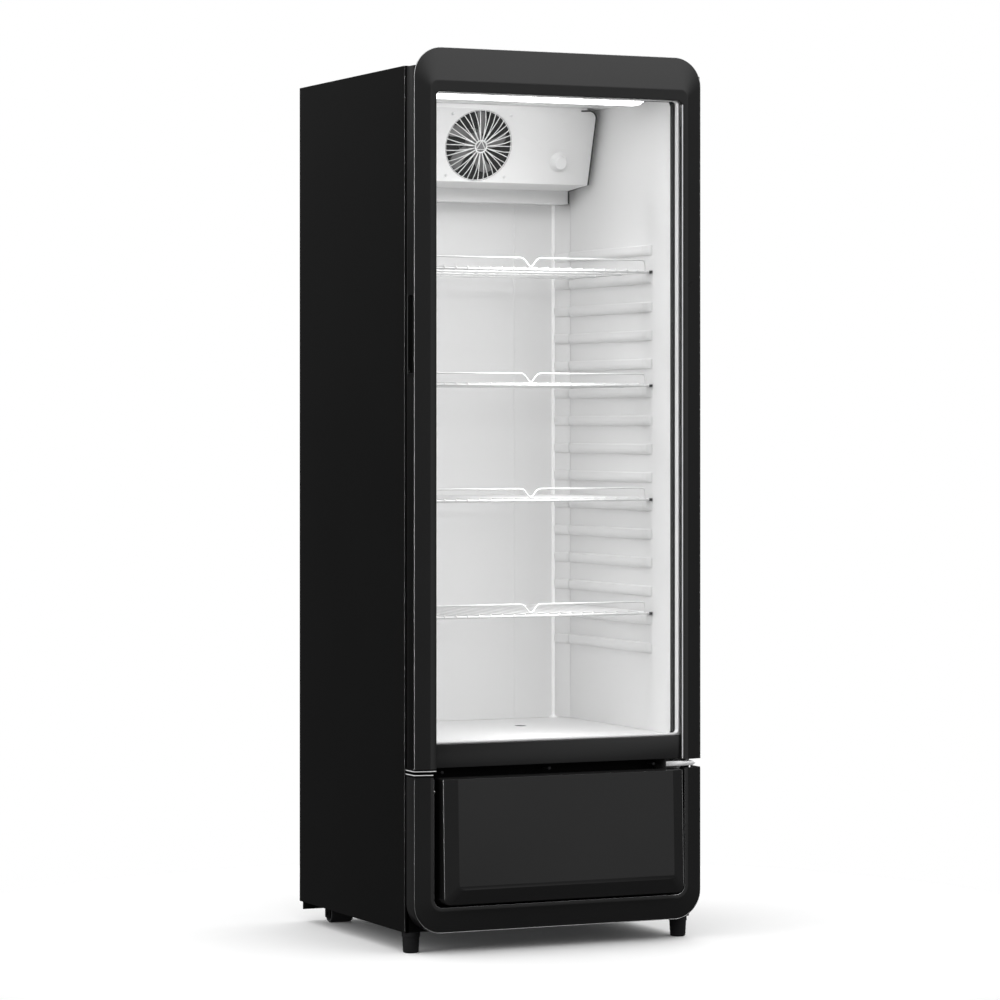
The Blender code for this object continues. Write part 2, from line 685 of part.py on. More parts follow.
def make_door_bars():
    outer = HALF - GAP
    inner = HALF - BAR_WIDTH
    low = DOOR_BOTTOM + 0.0015
    high = DOOR_BODY_TOP
    left = ((-outer, DOOR_BODY_FRONT, low), (-inner, DOOR_BACK, high))
    bar = add_object("door_left_bar", box_mesh("door_left_bar", left), "black_plastic")
    room = PULL_WALL + GAP
    pocket = ((-HALF - 0.01, PULL_FRONT - room, PULL_LOW - room),
              (-HALF + PULL_DEPTH + room, PULL_REAR + room, PULL_HIGH + room))
    boolean(bar, add_cutter("pull_pocket", box_mesh("pull_pocket", pocket)))

    right = ((inner, DOOR_BODY_FRONT, low), (outer, DOOR_BACK, high))
    bar = add_object("door_right_bar", box_mesh("door_right_bar", right), "black_plastic")
    y = depth(PIN_V)
    reach = BUSH_LENGTH + GAP
    bores = rod_mesh("bush_bores",
                     ((PIN_X, y, high - reach), (PIN_X, y, high + 0.01), BUSH_RADIUS + GAP),
                     ((PIN_X, y, low - 0.01), (PIN_X, y, low + reach), BUSH_RADIUS + GAP), sides=20)
    boolean(bar, add_cutter("bush_bores", bores))

    top_low = OPENING_TOP + 0.0025
    top = ((-inner + GAP, DOOR_BODY_FRONT, top_low), (inner - GAP, DOOR_BACK, high))
    add_object("door_top_bar", box_mesh("door_top_bar", top), "black_plastic")
    half = HALF - CREST_SIDE - 0.0008
    rail = ((-half, -0.0495, low), (half, DOOR_BACK, RAIL_TOP))
    add_object("door_bottom_rail", box_mesh("door_bottom_rail", rail), "black_plastic")


def make_glass():
    half = HALF - BAR_WIDTH - 0.0005
    low = RAIL_TOP + 0.0005
    high = OPENING_TOP + 0.0020
    outer_back = GLASS_FRONT + PANE
    inner_front = outer_back + SPACER
    outer = ((-half, GLASS_FRONT, low), (half, outer_back, high))
    add_object("door_glass_outer", box_mesh("door_glass_outer", outer), "clear_glass")
    inner = ((-half, inner_front, low), (half, inner_front + PANE, high))
    add_object("door_glass_inner", box_mesh("door_glass_inner", inner), "clear_glass")
    # the bright spacer frame between the panes
    edge = HALF - 0.0465
    ring = [box_outline(-half, half, low, high),
            rounded_outline(-edge, edge, low + 0.004, high - 0.0025, 0.007, 3)]
    mesh = plate_mesh("door_glass_spacer", ring, SPACER - 2 * GAP)
    middle = outer_back + SPACER / 2
    add_object("door_glass_spacer", mesh, "bright_metal", facing_front(0.0, middle, 0.0))


def make_gasket():
    """A soft magnetic seal around the door's rear face, clear of the hinge's swing."""
    outer = HALF - 0.024
    inner = HALF - 0.0445
    outlines = [box_outline(-outer, outer, RAIL_TOP - 0.024, OPENING_TOP + 0.0225),
                box_outline(-inner, inner, RAIL_TOP - 0.001, OPENING_TOP + 0.0005)]
    mesh = plate_mesh("door_gasket", outlines, -DOOR_BACK - 2 * GAP)
    add_object("door_gasket", mesh, "dark_rubber", facing_front(0.0, DOOR_BACK / 2, 0.0))


def make_pull():
    """The pull: a finger cup let into the door's free edge."""
    outer = ((-HALF, PULL_FRONT - PULL_WALL, PULL_LOW - PULL_WALL),
             (-HALF + PULL_DEPTH + PULL_WALL, PULL_REAR + PULL_WALL, PULL_HIGH + PULL_WALL))
    cup = add_object("door_pull", box_mesh("door_pull", outer), "black_plastic")
    hollow = ((-HALF - 0.01, PULL_FRONT, PULL_LOW), (-HALF + PULL_DEPTH, PULL_REAR, PULL_HIGH))
    boolean(cup, add_cutter("pull_hollow", box_mesh("pull_hollow", hollow)))


def make_hinges():
    y = depth(PIN_V)
    low = DOOR_BOTTOM + 0.0015
    high = DOOR_BODY_TOP
    bore = PIN_RADIUS + 0.0002
    profile = [(bore, 0.0), (BUSH_RADIUS, 0.0), (BUSH_RADIUS, BUSH_LENGTH), (bore, BUSH_LENGTH)]
    for name, base in (("door_bush_bottom", low), ("door_bush_top", high - BUSH_LENGTH)):
        place = Matrix.Translation((PIN_X, y, base))
        add_object(name, turned_mesh(name, profile, 20), "grey_plastic", place, True)

    # top hinge: a plate on the cabinet's top, a boss over the pin, and the pin
    plate_low = CABINET_TOP + GAP
    plate = ((PIN_X - 0.030, PIN_V, plate_low), (PIN_X + 0.008, 0.060, plate_low + 0.005))
    top = add_object("top_hinge", box_mesh("top_hinge", plate), "black_enamel")
    boss = rod_mesh("top_boss", ((PIN_X, y, plate_low), (PIN_X, y, 1.8175), 0.012), sides=20)
    boolean(top, add_cutter("top_boss", boss), "UNION")
    pin_ends = ((PIN_X, y, high - 0.024), (PIN_X, y, plate_low + 0.004), PIN_RADIUS)
    pin = rod_mesh("top_pin", pin_ends, sides=16)
    boolean(top, add_cutter("top_pin", pin), "UNION")

    # bottom hinge: a thick plate with a pointed end, a leg on the face frame, and the pin
    thick = 0.0097
    plate_low = 0.3633
    middle = plate_low + thick / 2
    left = PIN_X - 0.059
    right = HALF - 0.0125
    outline = [(left, plate_low), (right - 0.007, plate_low), (right, middle),
               (right - 0.007, plate_low + thick), (left, plate_low + thick)]
    mesh = plate_mesh("bottom_hinge", [outline], 0.049)
    bottom = add_object("bottom_hinge", mesh, "bright_metal", facing_front(0.0, -0.0275, 0.0))
    leg = ((left, -0.0033, 0.325), (right - 0.010, -GAP, plate_low + 0.006))
    boolean(bottom, add_cutter("hinge_leg", box_mesh("hinge_leg", leg)), "UNION")
    pin_ends = ((PIN_X, y, plate_low + 0.005), (PIN_X, y, low + 0.024), PIN_RADIUS)
    pin = rod_mesh("bottom_pin", pin_ends, sides=16)
    boolean(bottom, add_cutter("bottom_pin", pin), "UNION")


# ---- lower front --------------------------------------------------------------------------------
def make_lower_front():
    wall = 0.003
    crest = 0.0401
    profile = [
        (0.0, 0.0, TRIM_RADIUS, DOOR_BACK),
        (0.0, 0.0, TRIM_RADIUS, TRIM_EDGE),
        (CHAMFER_SIDE, LOWER_CHAMFER, 0.026, TRIM_CREST),
        (crest, LOWER_CREST, 0.020, TRIM_CREST),
        (crest + 0.0005, LOWER_CREST + 0.0005, 0.0195, -0.033),
        (crest - wall, LOWER_CREST - wall, 0.023, -0.033),
        (crest - wall, LOWER_CREST - wall, 0.023, TRIM_CREST + wall),
        (CHAMFER_SIDE - 0.001, LOWER_CHAMFER - 0.001, 0.027, TRIM_CREST + wall),
        (wall, wall, TRIM_RADIUS - wall, TRIM_EDGE + wall),
        (wall, wall, TRIM_RADIUS - wall, DOOR_BACK),
    ]
    mesh = u_trim_mesh("lower_trim", profile, LOWER_TOP, LOWER_BOTTOM)
    add_object("lower_trim", mesh, "black_plastic")

    # raised panel: a rim, a bevel along the sides and foot, and a face that leans out at the foot
    rings = []
    rim = PANEL_PROUD - PANEL_LEAN - PANEL_BEVEL
    foot = PANEL_LOW + PANEL_CHAMFER_LOW
    for half, low, forward in ((PANEL_HALF, PANEL_LOW, None), (PANEL_HALF, PANEL_LOW, rim),
                               (PANEL_HALF - PANEL_CHAMFER, foot, PANEL_PROUD - PANEL_LEAN)):
        radius = 0.012
        outline = arc(half - radius, low + radius, radius, -90, 0, 3)
        outline += [(half, PANEL_HIGH), (-half, PANEL_HIGH)]
        outline += arc(-half + radius, low + radius, radius, 180, 270, 3)
        ring = []
        for x, z in outline:
            lean = PANEL_LEAN * (PANEL_HIGH - z) / (PANEL_HIGH - foot)
            v = PANEL_RIM_V if forward is None else -forward - lean
            ring.append((x, depth(v), z))
        rings.append(ring)
    bm = bmesh.new()
    add_loft(bm, rings)
    bmesh.ops.triangulate(bm, faces=bm.faces)
    bmesh.ops.recalc_face_normals(bm, faces=bm.faces)
    panel = add_object("lower_front_panel", mesh_from(bm, "lower_front_panel"), "black_plastic")
    wall = PANEL_WALL
    hollow = ((-PANEL_HALF + 0.006, -0.068, PANEL_LOW + 0.006),
              (PANEL_HALF - 0.006, 0.0, PANEL_HIGH - wall))
    boolean(panel, add_cutter("panel_hollow", box_mesh("panel_hollow", hollow)))

    # carrier that holds the trim and the panel off the cabinet
    plate = box_mesh("front_carrier", ((-0.312, DOOR_BACK + 0.0005, 0.110), (0.312, -GAP, 0.322)))
    carrier = add_object("front_carrier", plate, "grey_plastic")
    blocks = []
    for side in (-1, 1):
        for z in (0.120, 0.280):
            x0, x1 = sorted((side * 0.292, side * 0.311))
            blocks.append(((x0, TRIM_EDGE + 0.008, z), (x1, -0.004, z + 0.030)))
        x0, x1 = sorted((side * 0.200, side * 0.240))
        blocks.append(((x0, -0.0665, PANEL_LOW + 0.0075), (x1, -0.004, PANEL_HIGH - wall - GAP)))
    join(carrier, box_mesh("carrier_blocks", *blocks))


# ---- base and machinery -------------------------------------------------------------------------
def make_base():
    edge = HALF - SHEET - GAP
    low = CABINET_BOTTOM + GAP
    high = 0.075
    front = FRAME_THICK + 0.0005
    back = 0.5705
    rail = 0.040
    inner = (-edge + rail, edge - rail, depth(front + rail), depth(back - rail))
    outlines = [box_outline(-edge, edge, depth(front), depth(back)), box_outline(*inner)]
    mesh = plate_mesh("base_frame", outlines, high - low)
    frame = add_object("base_frame", mesh, "black_enamel", Matrix.Translation((0.0, 0.0, (low + high) / 2)))
    studs = [((s * FOOT_X, depth(FOOT_V), low - 0.01), (s * FOOT_X, depth(FOOT_V), low + 0.028), 0.0055)
             for s in (-1, 1)]
    boolean(frame, add_cutter("stud_bores", rod_mesh("stud_bores", *studs, sides=12)))
    plate = ((-edge + rail + GAP, front + rail + GAP, low),
             (edge - rail - GAP, back - rail - GAP, low + BASE_SHEET))
    add_object("base_plate", box_mesh("base_plate", plate), "galvanised")


def make_feet():
    """Tapered feet, each on a threaded stud that turns in the base frame."""
    top = CABINET_BOTTOM - GAP
    profile = [(0.0, 0.0), (FOOT_BOTTOM_RADIUS - 0.002, 0.0), (FOOT_BOTTOM_RADIUS, 0.002),
               (FOOT_TOP_RADIUS - 0.001, top - 0.004), (FOOT_TOP_RADIUS - 0.001, top),
               (0.005, top), (0.005, top + 0.026), (0.0, top + 0.026)]
    mesh = turned_mesh("levelling_foot", profile, 24)
    for name, side in (("levelling_foot_left", -1), ("levelling_foot_right", 1)):
        place = Matrix.Translation((side * FOOT_X, depth(FOOT_V), 0.0))
        add_object(name, mesh, "dark_rubber", place, True)


def make_rollers():
    bore = AXLE_RADIUS + 0.0003
    half = ROLLER_LENGTH / 2
    r = ROLLER_RADIUS
    profile = [(bore, -half), (r - 0.002, -half), (r, -half + 0.002), (r, half - 0.002),
               (r - 0.002, half), (bore, half)]
    mesh = turned_mesh("rear_roller", profile, 28)
    turn = Matrix.Rotation(math.pi / 2, 4, "Y")
    for name, side in (("rear_roller_left", -1), ("rear_roller_right", 1)):
        place = Matrix.Translation((side * ROLLER_X, depth(ROLLER_V), ROLLER_RADIUS))
        add_object(name, mesh, "dark_rubber", place @ turn, True)

    # a bracket over each roller: web, two ears, the axle, and the plate that closes the corner
    top = CABINET_BOTTOM - GAP
    y = depth(ROLLER_V)
    gap = 0.0008
    sheet = 0.0025
    for name, side in (("roller_bracket_left", -1), ("roller_bracket_right", 1)):
        middle = side * ROLLER_X
        wide = half + gap + sheet
        web = ((middle - wide, ROLLER_V - 0.016, top - 0.0018), (middle + wide, 0.570, top))
        bracket = add_object(name, box_mesh(name, web), "black_enamel")
        ears = []
        for x in (middle - wide, middle + half + gap):
            ears.append(((x, ROLLER_V - 0.014, ROLLER_RADIUS - 0.009),
                         (x + sheet, ROLLER_V + 0.014, top - 0.0005)))
        x0, x1 = sorted((side * 0.320, side * 0.272))
        corner = ((x0, 0.566, 0.025), (x1, 0.569, top - 0.0005))
        axle = ((middle - wide - 0.003, y, ROLLER_RADIUS),
                (middle + wide + 0.003, y, ROLLER_RADIUS), AXLE_RADIUS)
        join(bracket, box_mesh("ears", *ears, corner), rod_mesh("axle", axle, sides=16))


def make_machinery():
    floor = CABINET_BOTTOM + GAP + BASE_SHEET
    # compressor: a pot on a foot plate with four stub feet
    base = floor + 0.018
    profile = [(0.0, 0.0), (0.060, 0.0), (0.074, 0.010), (0.078, 0.030), (0.078, 0.120),
               (0.070, 0.148), (0.048, 0.165), (0.0, 0.172)]
    x = 0.140
    v = 0.430
    pot = turned_mesh("compressor", profile, 24)
    place = Matrix.Translation((x, depth(v), base))
    compressor = add_object("compressor", pot, "black_enamel", place, True)
    sheet = ((x - 0.085, v - 0.060, base + 0.002), (x + 0.085, v + 0.060, base + 0.005))
    plate = box_mesh("foot_plate", sheet)
    feet = []
    for dx in (-0.072, 0.072):
        for dv in (-0.045, 0.045):
            foot = (x + dx, depth(v + dv))
            feet.append(((*foot, floor + GAP), (*foot, base + 0.004), 0.011))
    join(compressor, plate, rod_mesh("stub_feet", *feet, sides=12))

    fins = plate_mesh("condenser_coil", [comb_outline(0.340, 0.240, 0.012, 24, 0.005)], 0.070)
    place = facing_front(CONDENSER_X, CONDENSER_V, floor + GAP)
    add_object("condenser_coil", fins, "black_enamel", place)

    # fan behind the condenser, in a square shroud with a round hole
    x = CONDENSER_X
    v = CONDENSER_V + 0.0525
    z = 0.185
    shroud = plate_mesh("condenser_fan_shroud",
                        [box_outline(-0.130, 0.130, -0.135, 0.125), arc(0, 0, 0.105, 0, 350, 35)], 0.030)
    add_object("condenser_fan_shroud", shroud, "galvanised", facing_front(x, v, z))
    fan_object("condenser_fan_blade", 0.024, 0.022, 0.100, 0.050, 5, math.radians(25),
               facing_front(x, v + 0.002, z))
    # its motor, on a strap between two posts
    near = v + 0.0155
    far = v + 0.072
    body = ((x, depth(near + 0.003), z), (x, depth(far - 0.002), z), 0.034)
    motor_mesh = rod_mesh("condenser_fan_motor", body, sides=20)
    motor = add_object("condenser_fan_motor", motor_mesh, "grey_plastic")
    strap = box_mesh("motor_strap", ((x - 0.120, far - 0.003, z - 0.012), (x + 0.120, far, z + 0.012)))
    posts = [((x + side, near, z - 0.011), (x + side + 0.010, far - 0.001, z + 0.011))
             for side in (-0.119, 0.109)]
    join(motor, strap, box_mesh("motor_posts", *posts))

    # open tray that catches the drain water
    low = (-0.250, 0.300, floor + GAP)
    high = (-0.010, 0.500, floor + 0.045)
    tray = add_object("condensate_tray", box_mesh("condensate_tray", (low, high)), "grey_plastic")
    wall = 0.002
    hollow = ((low[0] + wall, low[1] + wall, low[2] + wall),
              (high[0] - wall, high[1] - wall, high[2] + 0.01))
    boolean(tray, add_cutter("tray_hollow", box_mesh("tray_hollow", hollow)))


def make_rear():
    """The machine compartment's slotted rear cover, and the gland that the mains lead leaves by."""
    edge = HALF - SHEET - GAP
    low = CABINET_BOTTOM + GAP
    high = DECK_BOTTOM - GAP
    outlines = [box_outline(-edge, edge, low, high)]
    for column in range(3):
        for row in range(8):
            x = -0.240 + 0.165 * column
            z = 0.120 + 0.028 * row
            outlines.append(box_outline(x, x + 0.140, z, z + 0.010))
    gland_x = 0.275
    gland_z = 0.120
    outlines.append(arc(gland_x, gland_z, 0.0103, 0, 345, 23))
    mesh = plate_mesh("rear_grille", outlines, SHEET)
    add_object("rear_grille", mesh, "black_enamel", facing_front(0.0, 0.5715, 0.0))
    # turned gland: flange outside, neck through the cover, bore for the lead
    profile = [(0.004, -0.0030), (0.0100, -0.0030), (0.0100, 0.0007), (0.0140, 0.0007),
               (0.0140, 0.0030), (0.004, 0.0030)]
    gland = turned_mesh("power_gland", profile, 24)
    place = Matrix.Translation((gland_x, depth(0.5715), gland_z)) @ Matrix.Rotation(-math.pi / 2, 4, "X")
    add_object("power_gland", gland, "dark_rubber", place, True)


clear_scene()
parts = new_collection("glass_door_merchandiser")
cutters = new_collection("cutters")
make_materials()
make_shell()
make_insulation()
make_liner()
make_corner_posts()
make_light()
make_evaporator()
make_thermostat()
make_shelves()
make_door_trim()
make_door_bars()
make_glass()
make_gasket()
make_pull()
make_hinges()
make_lower_front()
make_base()
make_feet()
make_rollers()
make_machinery()
make_rear()
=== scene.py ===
"""Looks for the glass door merchandiser: an upright black display fridge with one glass door.

Metres, +Z up, the door faces -Y.  A depth v is the distance behind the cabinet's front plane.
"""
import json
import math

import bmesh
import bpy
from mathutils import Matrix, Vector


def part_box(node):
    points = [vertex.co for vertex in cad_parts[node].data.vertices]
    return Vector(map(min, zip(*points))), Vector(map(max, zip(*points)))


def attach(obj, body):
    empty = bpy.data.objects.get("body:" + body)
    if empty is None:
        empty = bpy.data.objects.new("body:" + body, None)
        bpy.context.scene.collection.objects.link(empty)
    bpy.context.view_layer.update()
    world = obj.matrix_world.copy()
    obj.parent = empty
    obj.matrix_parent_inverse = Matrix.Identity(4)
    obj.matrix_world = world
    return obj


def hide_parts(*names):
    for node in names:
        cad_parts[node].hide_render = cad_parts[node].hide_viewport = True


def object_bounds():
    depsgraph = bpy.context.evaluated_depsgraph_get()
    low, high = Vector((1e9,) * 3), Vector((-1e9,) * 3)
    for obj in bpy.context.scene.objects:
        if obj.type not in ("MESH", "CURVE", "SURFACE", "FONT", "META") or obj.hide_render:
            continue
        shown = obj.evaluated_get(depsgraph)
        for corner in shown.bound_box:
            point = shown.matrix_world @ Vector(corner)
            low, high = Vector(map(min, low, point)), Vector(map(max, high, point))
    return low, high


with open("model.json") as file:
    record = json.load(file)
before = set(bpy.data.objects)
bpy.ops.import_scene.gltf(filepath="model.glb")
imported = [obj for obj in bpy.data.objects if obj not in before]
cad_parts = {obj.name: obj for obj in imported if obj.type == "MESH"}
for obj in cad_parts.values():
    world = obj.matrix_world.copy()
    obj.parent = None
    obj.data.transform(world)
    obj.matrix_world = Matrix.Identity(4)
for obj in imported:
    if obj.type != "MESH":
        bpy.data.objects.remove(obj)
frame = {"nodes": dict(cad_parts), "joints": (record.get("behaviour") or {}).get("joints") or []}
cad_low, cad_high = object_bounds()

# ---- places taken from the frame ----
panel_low, panel_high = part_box("left_side_panel")
CEILING_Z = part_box("liner_ceiling")[0].z
HALF = cad_high.x
FACE = panel_low.y
BACK = panel_high.y
CABINET_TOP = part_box("top_panel")[1].z
CABINET_BOTTOM = panel_low.z
FLOOR_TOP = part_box("liner_floor")[1].z
REAR_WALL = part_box("liner_back_wall")[0].y

# ---- sizes of the detail ----
RIB_COUNT = 15
RIB_PITCH = 0.06015
TOP_RIB = 1.442
RIB_HALF = 0.011
ROD = 0.0027
WIRE = 0.00165
WIRE_COUNT = 20
CAMERA_LEFT = 3.0556                 # from the cabinet's front left edge
CAMERA_AHEAD = 7.1197
CAMERA_HEIGHT = 1.0741
CAMERA_TURN = math.radians(24.66)
CAMERA_LENS = 137.52
CAMERA_SHIFT = -0.0759
FLOOR_RADIUS = 1.3
TRIM_EDGE = -0.0501                  # v of the outer edge of both U shaped trims
BEAD_V = -0.0499
ARCH_STEPS = 20
CREASE = math.radians(38)            # edges sharper than this are rounded on carried nodes


def at(v):
    """World Y of a depth behind the cabinet's front plane."""
    return FACE + v


# ---- materials ----
def put(item, **inputs):
    for name, value in inputs.items():
        item.inputs[name.replace("_", " ")].default_value = value


def node(tree, kind, **inputs):
    made = tree.nodes.new(kind)
    put(made, **inputs)
    return made


def surface(name, colour, rough, metal=0.0, specular=0.5, grain=1500.0, relief=0.00003, mottle=0.05,
            patch=9.0, tint=0.06, stretch=(1.0, 1.0, 1.0), coat=0.0):
    """A procedural finish: fine grain in the relief, and slow patches in colour and roughness."""
    material = bpy.data.materials.new(name)
    material.use_nodes = True
    tree = material.node_tree
    link = tree.links.new
    shader = tree.nodes["Principled BSDF"]
    put(shader, Metallic=metal, Specular_IOR_Level=specular, Coat_Weight=coat, Coat_Roughness=0.12)
    place = tree.nodes.new("ShaderNodeTexCoord")
    scale = node(tree, "ShaderNodeMapping", Scale=stretch)
    link(place.outputs["Object"], scale.inputs["Vector"])

    slow = node(tree, "ShaderNodeTexNoise", Scale=patch, Detail=4.0)
    link(scale.outputs["Vector"], slow.inputs["Vector"])
    colours = tree.nodes.new("ShaderNodeValToRGB")
    dark = [c * (1 - tint) for c in colour]
    light = [min(1.0, c * (1 + tint)) for c in colour]
    colours.color_ramp.elements[0].position = 0.30
    colours.color_ramp.elements[1].position = 0.72
    colours.color_ramp.elements[0].color = (*dark, 1.0)
    colours.color_ramp.elements[1].color = (*light, 1.0)
    link(slow.outputs["Fac"], colours.inputs["Fac"])
    link(colours.outputs["Color"], shader.inputs["Base Color"])

    gloss = node(tree, "ShaderNodeMapRange", To_Min=rough - mottle, To_Max=rough + mottle)
    link(slow.outputs["Fac"], gloss.inputs["Value"])
    link(gloss.outputs["Result"], shader.inputs["Roughness"])

    fine = node(tree, "ShaderNodeTexNoise", Scale=grain, Detail=2.0)
    link(scale.outputs["Vector"], fine.inputs["Vector"])
    bump = node(tree, "ShaderNodeBump", Strength=0.6, Distance=relief)
    link(fine.outputs["Fac"], bump.inputs["Height"])
    link(bump.outputs["Normal"], shader.inputs["Normal"])
    return material


def glass():
    material = surface("door_glass", (0.90, 0.92, 0.91), 0.03, specular=0.35, grain=40.0,
                       relief=0.000002, mottle=0.01, tint=0.01)
    put(material.node_tree.nodes["Principled BSDF"], Alpha=0.015)
    return material


def lit(name, colour, strength):
    material = surface(name, colour, 0.45, grain=600.0, relief=0.00001, tint=0.01)
    shader = material.node_tree.nodes["Principled BSDF"]
    put(shader, Emission_Color=(*colour, 1.0), Emission_Strength=strength)
    return material


def spangled(name, colour):
    """Galvanised sheet: zinc crystals a few millimetres across."""
    material = surface(name, colour, 0.42, metal=1.0, grain=900.0, relief=0.00001, tint=0.10)
    tree = material.node_tree
    shader = tree.nodes["Principled BSDF"]
    cells = node(tree, "ShaderNodeTexVoronoi", Scale=180.0)
    place = tree.nodes["Texture Coordinate"]
    tree.links.new(place.outputs["Object"], cells.inputs["Vector"])
    tones = node(tree, "ShaderNodeMapRange", To_Min=0.32, To_Max=0.55)
    tree.links.new(cells.outputs["Color"], tones.inputs["Value"])
    tree.links.new(tones.outputs["Result"], shader.inputs["Roughness"])
    return material


ENAMEL = surface("black_enamel", (0.0058, 0.0058, 0.0059), 0.38, specular=0.08, grain=700.0,
                 relief=0.00004, mottle=0.02, patch=5.0, tint=0.06)
MOULDED = surface("black_moulding", (0.0138, 0.0138, 0.0140), 0.28, specular=0.30, grain=2600.0,
                  relief=0.00003, mottle=0.015, patch=7.0, tint=0.05)
FASCIA = surface("black_fascia", (0.0160, 0.0160, 0.0162), 0.30, specular=0.25, grain=2600.0,
                 relief=0.00003, mottle=0.015, patch=7.0, tint=0.05)
# painted highlight: a pale finish on thin beads, standing in for the bright lines the lights leave on some
# edges
PAINTED_HIGHLIGHT = surface("painted_highlight_edge", (0.86, 0.86, 0.865), 0.35, metal=0.2, grain=900.0, relief=0.00001,
                 mottle=0.02, tint=0.04)
EDGE = surface("polished_edge", (0.55, 0.55, 0.555), 0.24, metal=1.0, grain=900.0, relief=0.00001,
               mottle=0.02, tint=0.04)
RUBBER = surface("dark_rubber", (0.010, 0.010, 0.011), 0.78, specular=0.25, grain=1800.0,
                 relief=0.00006, tint=0.15)
LINER = surface("white_liner", (0.855, 0.855, 0.855), 0.38, grain=260.0, relief=0.00003,
                mottle=0.06, patch=4.0, tint=0.012)
COATED = surface("white_coated_wire", (0.87, 0.87, 0.87), 0.30, grain=900.0, relief=0.00003,
                 patch=30.0, tint=0.03, coat=0.3)
FOAM = surface("foam", (0.80, 0.72, 0.48), 0.92, grain=500.0, relief=0.0003, tint=0.10)
GLASS = glass()
SPACER = surface("silver_spacer", (0.88, 0.88, 0.885), 0.36, metal=0.25, grain=900.0,
                 relief=0.00002, stretch=(1.0, 1.0, 0.1))
ZINC = surface("zinc_plate", (0.66, 0.66, 0.67), 0.30, metal=1.0, grain=1300.0, relief=0.00003,
               mottle=0.08, patch=40.0, tint=0.08, stretch=(0.15, 1.0, 1.0))
FIN = surface("fin_metal", (0.60, 0.61, 0.62), 0.38, metal=1.0, grain=800.0, tint=0.08)
GREY = surface("grey_moulding", (0.075, 0.076, 0.080), 0.50, grain=1600.0, relief=0.00005, tint=0.08)
DARK = surface("dark_moulding", (0.020, 0.020, 0.022), 0.50, specular=0.35, grain=1600.0,
               relief=0.00004, tint=0.08)
GALVANISED = spangled("galvanised_sheet", (0.48, 0.49, 0.50))
COPPER = surface("copper_pipe", (0.72, 0.33, 0.20), 0.32, metal=1.0, grain=900.0, tint=0.12, patch=25.0)
LAMP = lit("lit_diffuser", (1.0, 1.0, 1.0), 4.0)
# a faint glow on the rear corner strips: painted light, as they are no lamp
GLOWING_STRIP = lit("glowing_white_strip", (0.93, 0.93, 0.93), 0.16)
BLADE = surface("fan_blade_moulding", (0.19, 0.19, 0.19), 0.45, grain=1200.0, relief=0.00004, tint=0.08)
# the darkest black: the duct's and the pull's own colour, and painted shade on the lower panel's side
# walls, the trim skirts, the slot's back and the pull's recess
BLACK_AND_PAINTED_SHADE = surface("black_duct_and_painted_shade", (0.003, 0.003, 0.003), 0.7, specular=0.1, grain=900.0, tint=0.15)
SATIN = surface("satin_plate", (0.72, 0.72, 0.725), 0.42, metal=0.35, grain=1300.0, relief=0.00002,
                mottle=0.04, tint=0.04)
# painted shadow: a near black for dark pieces put where there is only shade
PAINTED_SHADOW = surface("painted_shadow_dark", (0.010, 0.010, 0.010), 0.8, grain=300.0, tint=0.1)


# ---- making pieces ----
def placed(name, data):
    item = bpy.data.objects.new(name, data)
    bpy.context.scene.collection.objects.link(item)
    return item


def round_edges(item, width, segments, angle):
    bevel = item.modifiers.new("edges", "BEVEL")
    bevel.width = width
    bevel.segments = segments
    bevel.limit_method = "ANGLE"
    bevel.angle_limit = angle
    bevel.harden_normals = True


def carry(name, material, width=0.0, segments=2, smooth=False):
    """A CAD node that stays: its finish, and its edges rounded to a width."""
    item = frame["nodes"][name]
    item.data.materials.clear()
    item.data.materials.append(material)
    for face in item.data.polygons:
        face.material_index = 0
        face.use_smooth = smooth or width > 0
    if width > 0:
        weld = item.modifiers.new("weld", "WELD")
        weld.merge_threshold = 0.00005
        round_edges(item, width, segments, CREASE)
    return item


def finish_mesh(name, bm, material, body, replaces=(), width=0.0, segments=2, angle=32):
    """A new piece from a bmesh, smooth shaded, riding on a body."""
    bmesh.ops.recalc_face_normals(bm, faces=bm.faces)
    mesh = bpy.data.meshes.new(name)
    bm.to_mesh(mesh)
    bm.free()
    mesh.materials.append(material)
    mesh.shade_smooth()
    if width == 0:
        mesh.set_sharp_from_angle(angle=math.radians(angle))
    item = placed(name, mesh)
    if width > 0:
        round_edges(item, width, segments, math.radians(angle))
    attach(item, body)
    if replaces:
        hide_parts(*replaces)


def add_box(bm, corner, opposite):
    size = [abs(b - a) for a, b in zip(corner, opposite)]
    middle = [(a + b) / 2 for a, b in zip(corner, opposite)]
    matrix = Matrix.Translation(middle) @ Matrix.Diagonal((*size, 1.0))
    bmesh.ops.create_cube(bm, size=1.0, matrix=matrix)


def add_rod(bm, start, end, radius, sides=12):
    start = Vector(start)
    end = Vector(end)
    span = end - start
    turn = span.to_track_quat("Z", "Y").to_matrix().to_4x4()
    matrix = Matrix.Translation((start + end) / 2) @ turn
    bmesh.ops.create_cone(bm, cap_ends=True, segments=sides, radius1=radius, radius2=radius,
                          depth=span.length, matrix=matrix)


def rounded(points, radius, steps=5):
    """A polyline whose inner corners are turned into arcs."""
    points = [Vector(p) for p in points]
    route = [points[0]]
    for before, here, after in zip(points, points[1:], points[2:]):
        a = before - here
        b = after - here
        cut = min(radius, a.length * 0.45, b.length * 0.45)
        start = here + a.normalized() * cut
        end = here + b.normalized() * cut
        for k in range(steps + 1):
            t = k / steps
            route.append(start * (1 - t) ** 2 + here * 2 * t * (1 - t) + end * t * t)
    route.append(points[-1])
    return route


